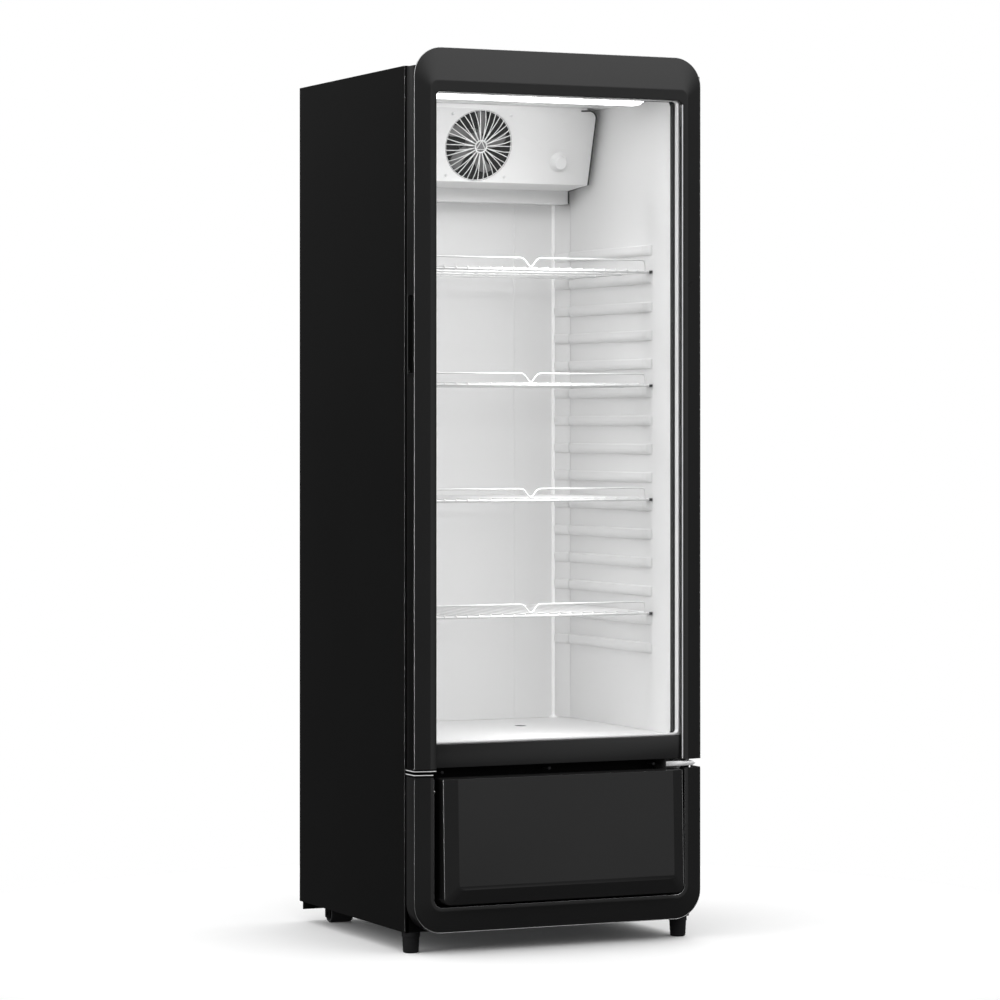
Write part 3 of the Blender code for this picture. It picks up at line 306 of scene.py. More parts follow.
def add_tube(bm, route, radius, sides=10, cyclic=False):
    """A round tube along a route, its rings kept from twisting."""
    route = [Vector(p) for p in route]
    count = len(route)
    rings = []
    side = None
    for k, here in enumerate(route):
        before = route[(k - 1) % count] if cyclic or k > 0 else here
        after = route[(k + 1) % count] if cyclic or k < count - 1 else here
        along = (after - before).normalized()
        if side is None:
            side = along.orthogonal().normalized()
        side = (side - along * side.dot(along)).normalized()
        up = along.cross(side)
        ring = []
        for s in range(sides):
            angle = 2 * math.pi * s / sides
            ring.append(bm.verts.new(here + radius * (math.cos(angle) * side + math.sin(angle) * up)))
        rings.append(ring)
    pairs = list(zip(rings, rings[1:]))
    if cyclic:
        pairs.append((rings[-1], rings[0]))
    for first, second in pairs:
        for s in range(sides):
            n = (s + 1) % sides
            bm.faces.new((first[s], first[n], second[n], second[s]))
    if not cyclic:
        bm.faces.new(rings[0])
        bm.faces.new(rings[-1])


def add_turned(bm, profile, matrix, steps=28):
    """A solid of revolution about the matrix's Z: (radius, z) points, closed on itself."""
    rings = []
    for step in range(steps):
        angle = 2 * math.pi * step / steps
        turn = matrix @ Matrix.Rotation(angle, 4, "Z")
        rings.append([bm.verts.new(turn @ Vector((r, 0.0, z))) for r, z in profile])
    count = len(profile)
    made = [v for ring in rings for v in ring]
    for first, second in zip(rings, rings[1:] + rings[:1]):
        for k in range(count):
            n = (k + 1) % count
            bm.faces.new((first[k], first[n], second[n], second[k]))
    bmesh.ops.remove_doubles(bm, verts=made, dist=0.000005)


def add_ring(bm, inner, outer, low, high, matrix, steps):
    """A washer about the matrix's Z, between two radii and two heights."""
    add_turned(bm, [(inner, low), (outer, low), (outer, high), (inner, high)], matrix, steps)


def add_loft(bm, rings):
    """A skin from loop to loop, closed at both ends."""
    loops = [[bm.verts.new(place) for place in ring] for ring in rings]
    count = len(loops[0])
    for first, second in zip(loops, loops[1:]):
        for k in range(count):
            n = (k + 1) % count
            bm.faces.new((first[k], first[n], second[n], second[k]))
    bm.faces.new(loops[0])
    bm.faces.new(loops[-1])


def arc(cx, cy, radius, start, end, steps):
    angles = [math.radians(start + (end - start) * k / steps) for k in range(steps + 1)]
    return [(cx + radius * math.cos(a), cy + radius * math.sin(a)) for a in angles]


def add_screw(bm, place, direction, radius=0.004):
    """A plain pan-head screw."""
    turn = Vector(direction).to_track_quat("Z", "Y").to_matrix().to_4x4()
    matrix = Matrix.Translation(place) @ turn
    height = radius * 0.55
    profile = [(0.0, -0.0002), (radius, -0.0002), (radius, height * 0.3),
               (radius * 0.85, height * 0.75), (radius * 0.5, height), (0.0, height)]
    add_turned(bm, profile, matrix, 20)


# ---- front trims ----
def u_path(half_width, end_z, crown_z, radius):
    """An arch from the left leg's end, over two round corners, to the right leg's end."""
    rise = 1 if crown_z > end_z else -1
    centre_z = crown_z - rise * radius
    left = [(-half_width, end_z)]
    for k in range(ARCH_STEPS + 1):
        angle = math.radians(180 - 90 * k / ARCH_STEPS)
        x = -half_width + radius + radius * math.cos(angle)
        left.append((x, centre_z + rise * radius * math.sin(angle)))
    return left + [(-x, z) for x, z in reversed(left)]


def u_trim(bm, profile, end_z, crown_z):
    """A U of trim: each profile entry is (side inset, crown inset, corner radius, v)."""
    rise = 1 if crown_z > end_z else -1
    paths = []
    for side, crown, radius, v in profile:
        path = u_path(HALF - side, end_z, crown_z - rise * crown, radius)
        paths.append([(x, at(v), z) for x, z in path])
    add_loft(bm, [list(ring) for ring in zip(*paths)])


def eased(profile):
    """The same profile with its front edges rounded by a small arc."""
    reach = 0.0012
    steps = 3
    made = []
    count = len(profile)
    for k, here in enumerate(profile):
        before = profile[k - 1]
        after = profile[(k + 1) % count]
        spans = [math.dist((p[0], p[3]), (here[0], here[3])) for p in (before, after)]
        if min(spans) < 2.2 * reach or k in (0, count - 1):
            made.append(here)
            continue
        start = [h + (b - h) * reach / spans[0] for h, b in zip(here, before)]
        end = [h + (a - h) * reach / spans[1] for h, a in zip(here, after)]
        for s in range(steps + 1):
            t = s / steps
            made.append(tuple(a * (1 - t) ** 2 + 2 * h * t * (1 - t) + b * t * t
                              for a, h, b in zip(start, here, end)))
    return made


def make_door_trim():
    low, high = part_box("door_trim")
    back = high.y - FACE
    front = low.y - FACE
    seat = -0.0478
    profile = [
        (0.0, 0.0, 0.060, seat),
        (0.0, 0.0, 0.060, TRIM_EDGE),
        (0.033, 0.068, 0.016, front),
        (0.0467, 0.0895, 0.010, front + 0.0016),
        (0.0472, 0.0900, 0.0095, back),
        (0.0423, 0.0873, 0.0105, back),
        (0.0423, 0.0873, 0.0105, seat),
    ]
    bm = bmesh.new()
    u_trim(bm, eased(profile), low.z, high.z)
    finish_mesh("door_trim_cover", bm, MOULDED, "door", ("door_trim",), angle=40)


def make_lower_trim():
    low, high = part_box("lower_trim")
    back = high.y - FACE
    front = low.y - FACE
    wall = 0.003
    crest = 0.0401
    lip = -0.033
    profile = [
        (0.0, 0.0, 0.060, back),
        (0.0, 0.0, 0.060, TRIM_EDGE),
        (0.033, 0.0442, 0.026, front),
        (crest, 0.0514, 0.020, front),
        (crest + 0.0005, 0.0519, 0.0195, lip),
        (crest - wall, 0.0484, 0.023, lip),
        (crest - wall, 0.0484, 0.023, front + wall),
        (0.032, 0.0432, 0.027, front + wall),
        (wall, wall, 0.057, TRIM_EDGE + wall),
        (wall, wall, 0.057, back),
    ]
    bm = bmesh.new()
    u_trim(bm, eased(profile), high.z, low.z)
    finish_mesh("lower_trim_cover", bm, MOULDED, "cabinet", ("lower_trim",), angle=40)


def make_lower_panel():
    """The raised lower panel: a rim, a bevel along the sides and foot, and a plain face."""
    low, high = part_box("lower_front_panel")
    proud = FACE - low.y
    lean = 0.008
    rear = 0.030
    rim = proud - lean - 0.012
    foot = low.z + 0.0295
    radius = 0.012
    rings = []
    for half, base, forward in ((high.x, low.z, rear), (high.x, low.z, rim - 0.001),
                                (high.x - 0.0008, low.z + 0.0008, rim),
                                (high.x - 0.0255, foot - 0.001, proud - lean - 0.0008),
                                (high.x - 0.0275, foot + 0.001, proud - lean)):
        outline = arc(half - radius, base + radius, radius, -90, 0, 8)
        outline += [(half, high.z), (-half, high.z)]
        outline += arc(-half + radius, base + radius, radius, 180, 270, 8)
        ring = []
        for x, z in outline:
            share = min(1.0, (high.z - z) / (high.z - foot))
            out = forward if forward == rear else forward + lean * share
            ring.append((x, FACE - out, z))
        rings.append(ring)
    bm = bmesh.new()
    add_loft(bm, rings)
    finish_mesh("lower_panel_cover", bm, FASCIA, "cabinet", ("lower_front_panel",),
                width=0.0006, segments=2, angle=20)
    # the panel's side walls in the darkest black: painted shade, as they lie in the groove beside the trim
    bm = bmesh.new()
    for side in (-1, 1):
        add_box(bm, (side * (high.x - 0.001), FACE - rim + 0.0010, low.z + 0.012),
                (side * (high.x + 0.0004), FACE - rear - 0.001, high.z - 0.002))
    finish_mesh("lower_panel_returns_painted_shade", bm, BLACK_AND_PAINTED_SHADE, "cabinet")


def u_bead(name, side, crown, radius, v, end_z, crown_z, body, thick):
    """A thin polished bead along an edge of one of the U shaped trims."""
    rise = 1 if crown_z > end_z else -1
    path = u_path(HALF - side, end_z, crown_z - rise * crown, radius)
    bm = bmesh.new()
    add_tube(bm, [(x, at(v), z) for x, z in path], thick, 8)
    finish_mesh(name, bm, EDGE, body, angle=60)


def make_trim_skirt(name, start, height, end, front, body):
    """A dark strip that carries on from the left leg of a trim, its black painted shade for the gap below
    the door, with a painted highlight along its lip.
    """
    thick = 0.0012
    face = at(front + 0.0030)
    route = [(-HALF + thick, at(-0.0060)), (-HALF + thick, at(-0.0470)), (-HALF + 0.0330, face),
             (-HALF + end, face)]
    root = start - height * 0.3
    edge = start + height
    rings = []
    for x, y in route:
        inner = (x + thick, y + thick)
        rings.append([(x, y, root), (x, y, edge), (*inner, edge), (*inner, root)])
    bm = bmesh.new()
    add_loft(bm, rings)
    # the strip's black is painted shade in the gap between the door and the lower trim
    finish_mesh(name, bm, BLACK_AND_PAINTED_SHADE, body, angle=30)
    # the lip's pale finish is a painted highlight
    bm = bmesh.new()
    add_tube(bm, [(x, y, edge) for x, y in route], 0.0010, 8)
    finish_mesh(f"{name}_painted_highlight_lip", bm, PAINTED_HIGHLIGHT, body, angle=60)


def make_edge_beads():
    """Polished beads along the edges of the trims, the panels and the pull, and painted highlights down the
    door trim's inner edge and on the skirts' lips.
    """
    low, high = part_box("door_trim")
    front = low.y - FACE
    u_bead("door_trim_outer_bead", 0.0004, 0.0004, 0.0596, BEAD_V, low.z, high.z, "door", 0.0008)
    bm = bmesh.new()
    # a painted highlight down the inner edge of the door trim's right leg
    x = HALF - 0.0452
    y = at(front + 0.0008)
    add_rod(bm, (x, y, low.z + 0.002), (x, y, high.z - 0.098), 0.0012, 8)
    finish_mesh("door_trim_inner_painted_highlight", bm, PAINTED_HIGHLIGHT, "door", angle=60)
    low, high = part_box("lower_trim")
    end = high.z - 0.003
    u_bead("lower_trim_outer_bead", 0.0004, 0.0004, 0.0596, BEAD_V, end, low.z, "cabinet", 0.0005)
    u_bead("lower_trim_inner_bead", 0.0400, 0.0513, 0.0200, front + 0.0005, end, low.z, "cabinet", 0.0004)
    low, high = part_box("lower_front_panel")
    rim = FACE - low.y - 0.020
    bm = bmesh.new()
    for side in (-1, 1):
        x = side * (high.x - 0.0004)
        ends = [(x, FACE - rim - 0.0070, low.z + 0.014), (x, FACE - rim - 0.0002, high.z - 0.001)]
        add_tube(bm, ends, 0.0007, 8)
    finish_mesh("lower_panel_rim_bead", bm, EDGE, "cabinet", angle=60)
    make_trim_skirt("door_trim_skirt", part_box("door_trim")[0].z, -0.0044, 0.0460, front, "door")
    make_trim_skirt("lower_trim_skirt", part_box("lower_trim")[1].z, 0.0052, 0.0395, front, "cabinet")
    bm = bmesh.new()
    y = FACE + 0.0003
    for side in (-1, 1):
        x = side * (HALF - 0.0005)
        add_rod(bm, (x, y, CABINET_BOTTOM + 0.002), (x, y, panel_high.z - 0.002), 0.0003, 8)
    finish_mesh("cabinet_front_beads", bm, EDGE, "cabinet", angle=60)
    low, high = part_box("door_pull")
    bm = bmesh.new()
    x = -HALF - 0.0004
    rear = high.y + 0.0004
    ends = [(x, rear - 0.0100, low.z + 0.0070), (x, rear, low.z), (x, rear, high.z),
            (x, rear - 0.0100, high.z - 0.0070)]
    add_tube(bm, ends, 0.0008, 6)
    finish_mesh("door_pull_bead", bm, EDGE, "door", angle=60)


def make_side_panels():
    """Each side is one folded sheet: it turns the front corner on a small radius."""
    radius = 0.0032
    sheet = 0.0008
    for name, side in (("left_side_panel", -1), ("right_side_panel", 1)):
        outer = [(HALF, BACK), (HALF, FACE + radius)]
        outer += [(HALF - radius + x, FACE + radius - y) for x, y in arc(0, 0, radius, 0, 90, 6)][1:]
        outer.append((HALF - 0.010, FACE))
        inner = [(HALF - 0.010, FACE + sheet)]
        inner += [(HALF - radius + x, FACE + radius - y) for x, y in arc(0, 0, radius - sheet, 90, 0, 6)]
        inner.append((HALF - sheet, BACK))
        rings = [[(side * x, y, z) for x, y in outer + inner] for z in (CABINET_BOTTOM, CABINET_TOP)]
        bm = bmesh.new()
        add_loft(bm, rings)
        finish_mesh(f"{name}_sheet", bm, ENAMEL, "cabinet", (name,), angle=50)


# ---- interior ----
def make_corner_ribs():
    """Short ends of the wall ribs, carried round onto the slanted rear corners."""
    section = ((-0.001, -RIB_HALF), (-0.001, RIB_HALF), (0.0062, RIB_HALF), (0.0072, RIB_HALF - 0.0012),
               (0.0076, RIB_HALF - 0.0040), (0.0076, 0.0), (0.0068, -RIB_HALF + 0.0065),
               (0.0050, -RIB_HALF + 0.0032), (0.0026, -RIB_HALF + 0.0010))
    for side, name in ((-1, "left"), (1, "right")):
        low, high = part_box(f"{name}_corner_post")
        near = Vector((side * max(abs(low.x), abs(high.x)), low.y, 0.0))
        far = Vector((side * min(abs(low.x), abs(high.x)), high.y, 0.0))
        along = (far - near).normalized()
        out = Vector((-along.y * side, along.x * side, 0.0))
        if out.y > 0:
            out = -out
        length = (far - near).length
        bm = bmesh.new()
        for index in range(RIB_COUNT):
            z = TOP_RIB - RIB_PITCH * index
            if z > high.z - 0.02:
                continue
            rings = []
            for share, lift in ((0.02, 0.3), (0.08, 1.0), (0.82, 1.0), (0.90, 0.85), (0.95, 0.55),
                                (0.97, 0.1)):
                base = near + along * length * share
                squeeze = 0.55 + 0.45 * lift
                ring = []
                for reach, height in section:
                    spot = base + out * max(reach * lift, -0.001)
                    ring.append((spot.x, spot.y, z + height * squeeze))
                rings.append(ring)
            add_loft(bm, rings)
        finish_mesh(f"{name}_corner_ribs", bm, LINER, "cabinet", angle=80)


def make_liner_details():
    """Ridges in the rear wall, bright strips down its corners that glow a little as painted light, and the
    floor's drain.
    """
    bm = bmesh.new()
    for x in (-0.162, 0.162):
        low = (x - 0.0016, REAR_WALL - 0.0012, FLOOR_TOP + 0.004)
        add_box(bm, low, (x + 0.0016, REAR_WALL + 0.0005, 1.555))
    finish_mesh("rear_wall_ridges", bm, LINER, "cabinet", width=0.0006)
    bm = bmesh.new()
    post_low, post_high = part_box("right_corner_post")
    for side in (-1, 1):
        x = side * post_low.x
        add_box(bm, (x - side * 0.0060, REAR_WALL - 0.0056, FLOOR_TOP + 0.0005),
                (x + side * 0.0005, REAR_WALL - 0.0002, post_high.z))
        foot = (x - side * 0.0030, REAR_WALL - 0.0030, FLOOR_TOP)
        flare = [(0.0, 0.0), (0.0110, 0.0), (0.0070, 0.0020), (0.0042, 0.0060), (0.0036, 0.0120),
                 (0.0, 0.0120)]
        add_turned(bm, flare, Matrix.Translation(foot), 20)
    finish_mesh("rear_corner_strips", bm, GLOWING_STRIP, "cabinet", width=0.0012, segments=3)
    bm = bmesh.new()
    drain = Vector((0.0857, at(0.325), FLOOR_TOP))
    ring = [(0.0118, 0.0007), (0.0130, 0.0006), (0.0136, 0.0), (0.0136, -0.0005), (0.0112, -0.0005)]
    place = Matrix.Translation(drain) @ Matrix.Diagonal((1.0, 1.45, 1.0, 1.0))
    add_turned(bm, ring, place, 36)
    finish_mesh("drain_rim", bm, LINER, "cabinet")
    # a dark disc in the drain's opening: painted shade inside the hole
    bm = bmesh.new()
    add_ring(bm, 0.0, 0.0118, -0.0004, 0.0004, place, 36)
    finish_mesh("drain_opening", bm, PAINTED_SHADOW, "cabinet")


def make_light():
    carry("light_housing", LINER, 0.001)
    carry("light_diffuser", LAMP, 0.0008)
    low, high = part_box("light_housing")
    bm = bmesh.new()
    for side in (-1, 1):
        add_box(bm, (side * (high.x + 0.0003), low.y + 0.004, low.z - 0.002),
                (side * (high.x + 0.010), high.y - 0.004, high.z))
        add_screw(bm, (side * (high.x + 0.005), (low.y + high.y) / 2, low.z - 0.002), (0, 0, -1), 0.0025)
    finish_mesh("light_end_caps", bm, LINER, "cabinet", width=0.0006)


# ---- evaporator ----
def joint_line(name):
    """A joint's place and the direction of its axis."""
    joint = next(j for j in frame["joints"] if j["name"] == name)
    return Vector(joint["pos_m"]), Vector(joint["axis"]).normalized()


def evaporator_frame():
    """A matrix on the evaporator's front face, at the fan's centre, Z pointing out of the face."""
    place, axis = joint_line("evaporator_fan_spin")
    right = Vector((1.0, 0.0, 0.0))
    up = axis.cross(right)
    centre = place + axis * 0.018
    matrix = Matrix((right, up, axis)).transposed().to_4x4()
    return Matrix.Translation(centre) @ matrix


def make_fan_guard():
    """A domed guard of paired wires, the duct behind it, and the small things on the cover round it."""
    matrix = evaporator_frame()
    radius = 0.0775
    hub = 0.0132
    crown = 0.0115
    bm = bmesh.new()
    pairs = 19
    for k in range(2 * pairs):
        rim_angle = math.pi * k / pairs
        hub_angle = 2 * math.pi * (k // 2 + 0.25) / pairs
        route = []
        for share, height in ((1.0, -0.0015), (0.94, 0.0020), (0.70, 0.0075), (0.40, 0.0105), (0.0, crown)):
            angle = hub_angle + (rim_angle - hub_angle) * share
            r = hub + (radius - hub) * share
            route.append(matrix @ Vector((r * math.cos(angle), r * math.sin(angle), height)))
        add_tube(bm, route, 0.00095, 6)
    for r, h, t in ((radius - 0.0008, -0.0016, 0.0013), (hub, crown + 0.0004, 0.0017)):
        ring = [matrix @ Vector((x, y, h)) for x, y in arc(0, 0, r, 0, 352.5, 47)]
        add_tube(bm, ring, t, 8, cyclic=True)
    corners = [matrix @ Vector((x, y, crown + 0.0010)) for x, y in arc(0, 0, hub - 0.0008, 90, 330, 2)]
    for k in range(3):
        add_tube(bm, [corners[k], corners[(k + 1) % 3]], 0.0009, 6)
    finish_mesh("fan_guard_wires", bm, COATED, "cabinet", ("evaporator_fan_guard",), angle=60)
    bm = bmesh.new()
    add_turned(bm, [(0.0, -0.001), (0.0128, -0.001), (0.0128, crown - 0.001), (0.0, crown)], matrix, 36)
    finish_mesh("fan_guard_cap", bm, BLADE, "cabinet")
    # the duct's black is partly its own colour, partly painted shade behind the blades
    bm = bmesh.new()
    duct = [(0.0776, -0.046), (0.0776, -0.0004), (0.0768, -0.0004), (0.0768, -0.045), (0.0290, -0.045),
            (0.0290, -0.046)]
    add_turned(bm, duct, matrix, 64)
    finish_mesh("evaporator_fan_duct", bm, BLACK_AND_PAINTED_SHADE, "cabinet", angle=50)
    make_cover_painted_shadow(matrix)
    bm = bmesh.new()
    for x in (-0.0685, 0.0685):
        for y in (-0.067, 0.067):
            add_screw(bm, matrix @ Vector((x, y, 0.0001)), matrix.to_3x3() @ Vector((0, 0, 1)), 0.0034)
    finish_mesh("evaporator_cover_screws", bm, SATIN, "cabinet")
    bm = bmesh.new()
    pad = Matrix.Translation((0.192, 0.042, 0.0002)) @ Matrix.Diagonal((0.018, 0.0050, 0.0008, 1.0))
    bmesh.ops.create_cube(bm, size=1.0, matrix=matrix @ pad)
    finish_mesh("evaporator_cover_pad", bm, LINER, "cabinet", width=0.0002)


def make_cover_painted_shadow(matrix):
    """A painted shadow line along the cover's right end, down its foot and the drip tray's end, where the
    gap beside the cover lies in shade.
    """
    low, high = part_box("evaporator_cover")
    tray_low, tray_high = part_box("evaporator_drip_tray")
    out = 0.0009
    up = matrix.to_3x3() @ Vector((0, 1, 0))
    top = matrix.translation + up * ((high.z - matrix.translation.z) / up.z)
    foot = matrix.translation + up * ((low.z - matrix.translation.z) / up.z)
    behind = Vector((0.0, -0.0004, 0.0))
    radius = 0.018
    x = high.x + out
    down = (foot - top).normalized()
    route = [Vector((x - radius - 0.020, top.y, top.z - out)) + behind]
    for px, pz in arc(0, 0, radius, 90, 0, 6):
        spot = top + down * (radius - pz)
        route.append(Vector((x - radius + px, spot.y, spot.z)) + behind)
    route.append(Vector((x, foot.y, foot.z + 0.001)) + behind)
    heel = Vector((x, tray_low.y - 0.001, foot.z - 0.0075))
    route.append(heel)
    bm = bmesh.new()
    add_tube(bm, route, 0.0017, 8)
    end = Vector((tray_high.x + 0.0012, tray_low.y - 0.0006, tray_low.z))
    add_tube(bm, [heel, (end.x, end.y, heel.z)], 0.0012, 8)
    add_tube(bm, [(end.x, end.y, heel.z + 0.002), end], 0.0020, 8)
    finish_mesh("evaporator_cover_painted_shadow", bm, PAINTED_SHADOW, "cabinet", angle=60)
    # the returns that close the space below the cover and above it
    bm = bmesh.new()
    section = [(foot.y + 0.0008, foot.z + 0.0010), (foot.y + 0.0008, foot.z - 0.0004), (heel.y, heel.z),
               (heel.y + 0.002, heel.z), (heel.y + 0.002, foot.z + 0.0010)]
    add_loft(bm, [[(px, y, z) for y, z in section] for px in (low.x + 0.0010, high.x - 0.0004)])
    add_box(bm, (low.x + 0.002, top.y + 0.0005, high.z - 0.004),
            (high.x - 0.022, top.y + 0.0030, CEILING_Z - 0.0003))
    finish_mesh("evaporator_cover_return", bm, LINER, "cabinet", width=0.0004)


def add_blade(bm, matrix, inner, outer, chord, pitch, turn):
    """A swept, twisted fan blade, thick in the middle of its chord."""
    thickness = 0.0014
    stations = 7
    across = 6
    rings = []
    for k in range(stations):
        t = k / (stations - 1)
        r = inner + (outer - inner) * t
        twist = pitch * (1.15 - 0.45 * t)
        width = chord * (0.75 + 0.55 * t) * (1.0 - 0.35 * max(0.0, t - 0.8) / 0.2)
        lead = turn + 0.25 * t * t
        upper = []
        lower = []
        for c in range(across + 1):
            u = c / across - 0.5
            half = thickness * (1.0 - (2 * u) ** 2) / 2 + 0.0002
            swing = u * width * math.cos(twist)
            height = u * width * math.sin(twist) + 0.10 * width * (0.25 - u * u)
            angle = lead + swing / r
            place = (r * math.cos(angle), r * math.sin(angle))
            upper.append(matrix @ Vector((*place, height + half)))
            lower.append(matrix @ Vector((*place, height - half)))
        rings.append(upper + lower[::-1])
    add_loft(bm, rings)


def make_fan(name, node_name, body, joint_name, hub, depth, tip, chord, blades, pitch):
    """A fan wheel: blades round a hub that turns about a joint."""
    place, axis = joint_line(joint_name)
    matrix = Matrix.Translation(place) @ axis.to_track_quat("Z", "Y").to_matrix().to_4x4()
    bm = bmesh.new()
    half = depth / 2
    profile = [(0.0, -half), (hub, -half), (hub, half * 0.6), (hub * 0.92, half * 0.9), (hub * 0.5, half),
               (0.0, half)]
    add_turned(bm, profile, matrix, 36)
    for k in range(blades):
        add_blade(bm, matrix, hub * 0.85, tip, chord, pitch, 2 * math.pi * k / blades)
    finish_mesh(name, bm, BLADE, body, (node_name,), angle=50)


def make_thermostat():
    """The ribbed knob and its pointer."""
    place = joint_line("thermostat_turn")[0]
    matrix = Matrix.Translation(place) @ evaporator_frame().to_3x3().to_4x4()
    bm = bmesh.new()
    steps = 72
    rings = []
    for radius, height in ((0.0205, 0.0004), (0.0210, 0.0016), (0.0200, 0.0030), (0.0160, 0.0042),
                           (0.0148, 0.0060), (0.0140, 0.0165), (0.0130, 0.0180), (0.006, 0.0184)):
        ring = []
        for k in range(steps):
            angle = 2 * math.pi * k / steps
            grip = 0.0003 * math.cos(24 * angle) if 0.005 < height < 0.017 else 0.0
            r = radius + grip
            ring.append(matrix @ Vector((r * math.cos(angle), r * math.sin(angle), height)))
        rings.append(ring)
    add_loft(bm, rings)
    finish_mesh("thermostat_knob_cap", bm, LINER, "thermostat", ("thermostat_knob",),
                angle=50)
    bm = bmesh.new()
    bar = Matrix.Translation((0.0, 0.0075, 0.01835)) @ Matrix.Diagonal((0.0012, 0.0075, 0.0006, 1.0))
    bmesh.ops.create_cube(bm, size=1.0, matrix=matrix @ bar)
    finish_mesh("thermostat_pointer", bm, LINER, "thermostat")


# ---- shelves ----
def make_shelf(number, body):
    """A welded wire shelf: round rods, thinner wires on top, and the bent front wire.

    The front clips are fixed to the liner and stay when the shelf slides.
    """
    low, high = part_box(f"shelf_{number}")
    level = low.z + ROD
    front = low.y + ROD
    back = high.y - ROD
    side = high.x - ROD
    bm = bmesh.new()
    for share in (0.0, 1 / 3, 2 / 3, 1.0):
        y = front + share * (back - front)
        add_rod(bm, (-side, y, level), (side, y, level), ROD, 16)
    for x in (-side, side):
        add_rod(bm, (x, front, level), (x, back, level), ROD, 16)
        for y in (front, back):
            bmesh.ops.create_uvsphere(bm, u_segments=12, v_segments=8, radius=ROD,
                                      matrix=Matrix.Translation((x, y, level)))
    for k in range(WIRE_COUNT):
        x = -side + 2 * side * (k + 1) / (WIRE_COUNT + 1)
        top = level + ROD + WIRE * 0.8
        ends = [(x, front - 0.0015, level - 0.001), (x, front - 0.0028, top), (x, back + 0.0028, top)]
        add_tube(bm, rounded(ends, 0.003, 3), WIRE, 8)
    finish_mesh(f"shelf_{number}_grid", bm, COATED, body, (f"shelf_{number}",), angle=50)
    bm = bmesh.new()
    end = 0.266
    dip = 0.017
    crest = high.z - WIRE
    route = [(-end, level), (-end, crest), (-dip, crest), (0.0, level + ROD + 0.001), (dip, crest),
             (end, crest), (end, level)]
    route = rounded([(x, front, z) for x, z in route], 0.0075, 6)
    add_tube(bm, route, WIRE, 12)
    finish_mesh(f"shelf_{number}_front_wire", bm, COATED, body, angle=60)
    bm = bmesh.new()
    for x in (-side, side):
        add_box(bm, (x, front - 0.0070, level - 0.0030),
                (x + math.copysign(0.0052, x), front + 0.0030, level + 0.0028))
    finish_mesh(f"shelf_{number}_front_clips", bm, DARK, "cabinet", width=0.0005)
    bm = bmesh.new()
    for x in (-side, side):
        add_box(bm, (x - math.copysign(0.0015, x), back - 0.0080, level - 0.0085),
                (x + math.copysign(0.0030, x), back + 0.0010, level - 0.0015))
    finish_mesh(f"shelf_{number}_rear_clips", bm, DARK, body, width=0.0005)


# ---- door ----
def make_pull():
    """The pull's raised rim on the door's edge."""
    low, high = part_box("door_pull")
    bm = bmesh.new()
    band = 0.0021
    y0, y1, y2, y3 = low.y - 0.0005, low.y + band, high.y - band, high.y + 0.0015
    z0, z1, z2, z3 = low.z - 0.0035, low.z + band, high.z - band, high.z + 0.0060
    for near, far, foot, head in ((y0, y3, z0, z1), (y0, y3, z2, z3), (y0, y1, z1, z2), (y2, y3, z1, z2)):
        add_box(bm, (-HALF - 0.0009, near, foot), (-HALF - 0.0001, far, head))
    finish_mesh("door_pull_rim", bm, ENAMEL, "door", width=0.0003)


def make_gasket():
    """The magnetic seal's bellows: two beads against the cabinet and two folds behind them."""
    low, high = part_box("door_gasket")
    bm = bmesh.new()
    for inset, y, radius in ((0.0060, high.y - 0.0030, 0.0029), (0.0150, high.y - 0.0030, 0.0029),
                             (0.0105, low.y + 0.0045, 0.0036), (0.0050, low.y + 0.0022, 0.0020)):
        x = high.x - inset
        z0 = low.z + inset
        z1 = high.z - inset
        outline = [(-x, z0), (x, z0), (x, z1), (-x, z1)]
        route = []
        for k, (px, pz) in enumerate(outline):
            nx, nz = outline[(k + 1) % 4]
            for s in range(4):
                t = 0.02 + 0.96 * s / 3
                route.append((px + (nx - px) * t, y, pz + (nz - pz) * t))
        add_tube(bm, route, radius, 8, cyclic=True)
    finish_mesh("door_gasket_bellows", bm, RUBBER, "door", angle=60)


def make_screws():
    """Fixings in the slot below the door and on the hinges, and a painted shadow at the bottom plate's end.
    """
    bm = bmesh.new()
    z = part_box("lower_trim")[1].z + 0.0078
    for x in (-0.255, -0.014, 0.2255):
        add_screw(bm, (x, at(-0.030), z), (0, -1, 0), 0.0036)
        add_rod(bm, (x, at(-0.0302), z), (x, at(-0.0005), z), 0.0019)
    finish_mesh("front_fixing_screws", bm, DARK, "cabinet")
    bm = bmesh.new()
    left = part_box("top_hinge")[0].x
    for v in (0.018, 0.045):
        for inset in (0.012, 0.030):
            add_screw(bm, (left + inset, at(v), CABINET_TOP + 0.0055), (0, 0, 1), 0.0048)
    low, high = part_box("bottom_hinge")
    for x in (low.x + 0.012, low.x + 0.042):
        add_screw(bm, (x, at(-0.0034), 0.345), (0, -1, 0), 0.0045)
    finish_mesh("hinge_screws", bm, DARK, "cabinet")
    # a dark slab at the plate's left end: painted shadow
    bm = bmesh.new()
    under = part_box("door_bottom_rail")[0].z - 0.0004
    add_box(bm, (low.x - 0.0010, low.y + 0.0006, low.z), (low.x + 0.0002, high.y, under))
    finish_mesh("hinge_plate_end_painted_shadow", bm, PAINTED_SHADOW, "cabinet")


